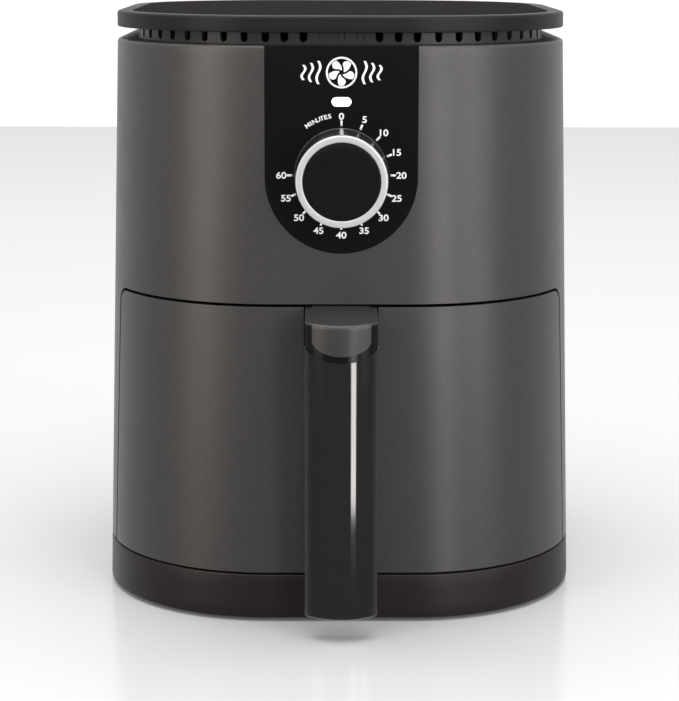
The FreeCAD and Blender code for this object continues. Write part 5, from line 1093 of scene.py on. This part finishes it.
    def core(self) -> bpy.types.Object:
        """The black core: a loop across the arm that turns with the corner and runs down the grip."""
        half = self.half - 0.15
        x = half * np.sin(np.radians(np.linspace(-90, 90, 33)))
        t = np.concatenate([np.linspace(0, 1, 9), np.linspace(1, 2, 7)[1:], np.linspace(2, 3, 28)[1:]])
        low = np.full(x.shape, self.low + 0.5)
        back = self.shape.front + 11.5
        outer = self.skin(x, t, low, self.recess, back)
        inner_y = self.front + self.grip_depth
        centre_y, centre_z = inner_y + self.inner_round, self.arm_low - self.inner_round
        mid_y, mid_z = outer[:, 16, 1], outer[:, 16, 2]
        angle = np.clip(np.arctan2(centre_y - mid_y, np.maximum(mid_z - centre_z, 1e-6)), 0, math.pi / 2)
        under_y = np.where(mid_y > centre_y, mid_y, centre_y - self.inner_round * np.sin(angle))
        under_z = np.where(mid_y > centre_y, self.arm_low, centre_z + self.inner_round * np.cos(angle))
        under_y = np.where(mid_z < centre_z, inner_y, under_y)
        under_z = np.where(mid_z < centre_z, mid_z, under_z)
        under = np.stack([np.broadcast_to(x[None, ::-1], outer.shape[:2]),
                          np.broadcast_to(under_y[:, None], outer.shape[:2]),
                          np.broadcast_to(under_z[:, None], outer.shape[:2])], axis=-1)
        side = np.linspace(0, 1, 6)[None, 1:-1, None]
        right = outer[:, -1:, :] + (under[:, :1, :] - outer[:, -1:, :]) * side
        left = under[:, -1:, :] + (outer[:, :1, :] - under[:, -1:, :]) * side
        loops = np.concatenate([outer, right, under, left], axis=1)
        shares = np.array([0.0, 0.5, 1.0])[:, None, None]
        head = loops[0].mean(0) + shares * (loops[0] - loops[0].mean(0))
        foot = loops[-1].mean(0) + shares[::-1] * (loops[-1] - loops[-1].mean(0))
        points = np.concatenate([head[:-1], loops, foot[1:]])
        return ease(grid_object("handle_core", points, wrap=True, flip=True), 0.7, 3, 45)

    def build(self) -> None:
        """Makes and places the handle's pieces."""
        place(self.core(), "drawer", "handle_core", CORE, "handle_frame")
        place(self.cover(), "drawer", "handle_gloss", COVER, "handle_cover")
        place(self.tongue(), "drawer", "tongue_paint", TONGUE, "handle_tongue")
        place(self.shelf_skin(), "drawer", "tongue_paint", TONGUE)


@dataclass
class Basket:
    """The non-stick pan."""

    shape: BodyShape = SHAPE
    half_x: float = 76.0
    front: float = 24.0
    back: float = 188.0
    low: float = 26.0
    high: float = 119.5
    corner: float = 24.0
    wall: float = 1.2
    taper: float = 2.5
    floor_round: float = 7.0
    rim: float = 3.0

    def build(self) -> None:
        """Carries the pan's section round its outline: underside, outer wall, rim, inner wall, floor."""
        outline = Outline(self.half_x, (self.back - self.front) / 2, self.corner,
                          self.shape.front + (self.back + self.front) / 2)
        low, high, w, r, t = self.low, self.high, self.wall, self.floor_round, self.taper
        section = [(20.0, low), (t + r, low)]
        section += arc_profile((t + r, low + r), -r, 90, 0, 6)[1:]
        section += [(t * (high - z) / (high - low), z) for z in np.linspace(low + r + 6, high - 3, 8)]
        section += [(0.0, high - 1.6), (-self.rim + 0.6, high - 1.6)]
        section += arc_profile((-self.rim + 0.8, high - 0.8), 0.8, 270, 90, 6)
        section += arc_profile((0.2, high - 1.0), -1.0, 270, 180, 4)
        section += [(w + t * (high - z) / (high - low), z) for z in np.linspace(high - 3, low + r + 6, 8)]
        section += arc_profile((t + r, low + r), -(r - w), 0, 90, 6)
        section += [(20.0, low + w)]
        line = np.array(section, float)
        points = outline.points(outline.stations(8, 24, 8), line[:, 0], line[:, 1])
        middle = np.array([0.0, outline.middle_y, 0.0])
        shares = np.array([0.0, 0.3, 0.7])[:, None, None]
        pole = middle + np.array([0, 0, 1.0]) * points[0][:, 2:].mean()
        under = pole + shares * (points[0] - pole)
        pole = middle + np.array([0, 0, 1.0]) * points[-1][:, 2:].mean()
        inside = pole + shares[::-1] * (points[-1] - pole)
        piece = grid_object("pan", np.concatenate([under, points, inside]), wrap=True)
        place(piece, "drawer", "nonstick_coat", NONSTICK, "basket")


# ---- Studio --------------------------------------------------------------------------------------------
@dataclass
class Studio:
    """Pale floor, soft lights and the camera."""

    shape: BodyShape = SHAPE
    distance: float = 819.8
    height: float = 281.8
    aside: float = -6.5
    tilt: float = 11.4
    turn: float = 0.386
    lens: float = 104.8
    roll: float = -0.115
    floor_half: float = 2500.0
    floor_back: float = 2200.0
    dim: float = 0.12
    bright_above: float = 0.8
    dim_front: float = 0.1
    bright_behind: float = 0.78
    seen_strength: float = 1.05

    def floor(self) -> None:
        """A wide level floor."""
        x, y = np.meshgrid(np.linspace(-self.floor_half, self.floor_half, 5),
                           np.linspace(-self.floor_half, self.floor_back, 5))
        floor = grid_object("studio_floor", np.stack([x, y, np.zeros_like(x)], axis=-1))
        SCREEN.dress(floor)
        floor.visible_glossy = False

    def camera(self) -> None:
        """The camera in front of the body, looking slightly down."""
        data = bpy.data.cameras.new("camera")
        data.lens, data.sensor_width = self.lens, 36.0
        data.clip_start, data.clip_end = 0.02, 60.0
        camera = bpy.data.objects.new("camera", data)
        bpy.context.scene.collection.objects.link(camera)
        camera.location = (self.aside * MM, (self.shape.front - self.distance) * MM, self.height * MM)
        angles = (90 - self.tilt, self.roll, -self.turn)
        camera.rotation_euler = tuple(math.radians(angle) for angle in angles)
        bpy.context.scene.camera = camera

    def soft_light(self, name: str, spot: tuple[float, float, float], aim: tuple[float, float, float],
                   size: tuple[float, float], power: float, tint: Colour = (1.0, 1.0, 1.0)) -> None:
        """A rectangular softbox at spot, turned to aim."""
        data = bpy.data.lights.new(name, "AREA")
        data.shape, data.size, data.size_y = "RECTANGLE", size[0], size[1]
        data.energy, data.color = power, tint
        lamp = bpy.data.objects.new(name, data)
        bpy.context.scene.collection.objects.link(lamp)
        way = np.array(aim, float) - np.array(spot, float)
        flat = math.hypot(way[0], way[1])
        lamp.location = spot
        lamp.rotation_euler = (math.pi / 2 + math.atan2(way[2], flat), 0.0, math.atan2(-way[0], way[1]))

    def ramp(self, tree: bpy.types.NodeTree, value: bpy.types.NodeSocket, start: float, end: float,
             low: float, high: float) -> bpy.types.NodeSocket:
        """value moved from start..end to low..high, held at the ends."""
        node = tree.nodes.new("ShaderNodeMapRange")
        for socket, number in (("From Min", start), ("From Max", end), ("To Min", low), ("To Max", high)):
            node.inputs[socket].default_value = number
        tree.links.new(value, node.inputs["Value"])
        return node.outputs["Result"]

    def world(self) -> None:
        """A surround bright above and behind, dim below the worktop, and plain white where it is seen."""
        world = bpy.data.worlds.new("surround")
        bpy.context.scene.world = world
        world.use_nodes = True
        tree = world.node_tree
        surround, output = tree.nodes["Background"], tree.nodes["World Output"]
        split = tree.nodes.new("ShaderNodeSeparateXYZ")
        tree.links.new(tree.nodes.new("ShaderNodeTexCoord").outputs["Generated"], split.inputs["Vector"])
        above = self.ramp(tree, split.outputs["Z"], -0.02, 0.35, self.dim, self.bright_above)
        behind = self.ramp(tree, split.outputs["Y"], -0.35, 0.7, self.dim_front, self.bright_behind)
        brighter = tree.nodes.new("ShaderNodeMath")
        brighter.operation = "MAXIMUM"
        tree.links.new(above, brighter.inputs[0])
        tree.links.new(behind, brighter.inputs[1])
        tree.links.new(brighter.outputs["Value"], surround.inputs["Strength"])
        surround.inputs["Color"].default_value = (1.0, 1.0, 1.0, 1.0)
        seen = tree.nodes.new("ShaderNodeBackground")
        seen.inputs["Color"].default_value = (1.0, 1.0, 1.0, 1.0)
        seen.inputs["Strength"].default_value = self.seen_strength
        choice = tree.nodes.new("ShaderNodeMixShader")
        tree.links.new(tree.nodes.new("ShaderNodeLightPath").outputs["Is Camera Ray"], choice.inputs["Fac"])
        tree.links.new(surround.outputs["Background"], choice.inputs[1])
        tree.links.new(seen.outputs["Background"], choice.inputs[2])
        tree.links.new(choice.outputs["Shader"], output.inputs["Surface"])

    def build(self) -> None:
        """Sets up floor, camera, lights and surround."""
        self.floor()
        self.camera()
        self.world()
        self.soft_light("overhead", (0.0, 0.1, 2.2), (0.0, 0.0, 0.0), (2.6, 2.6), 50.0)
        self.soft_light("streak_box", (0.68, -1.45, 0.3), (0.0, -0.1, 0.1), (0.3, 1.4), 7.0)
        self.soft_light("right_box", (1.3, -1.1, 0.5), (0.0, 0.0, 0.14), (0.5, 1.4), 7.0)
        self.soft_light("left_box", (-1.3, -1.1, 0.5), (0.0, 0.0, 0.14), (0.7, 1.4), 7.5, (1.0, 0.95, 0.9))
        bpy.context.scene.view_settings.view_transform = "Standard"


def dress_cad_nodes(nodes: dict[str, bpy.types.Object]) -> None:
    """Gives every CAD node that stays in view its finish."""
    for name, finish in CAD_FINISHES.items():
        finish.dress(nodes[name])
        LOG.info("%s takes %s", name, finish.name)


def main() -> None:
    """Builds the looks in order."""
    logging.basicConfig(level=logging.INFO, format="%(name)s: %(message)s")
    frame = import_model()
    dress_cad_nodes(frame["nodes"])
    for assembly in (Housing(), ControlPanel(), Knob(), DrawerFront(), Handle(), Basket(), Studio()):
        LOG.info("building %s", type(assembly).__name__)
        assembly.build()


if __name__ == "__main__":
    main()
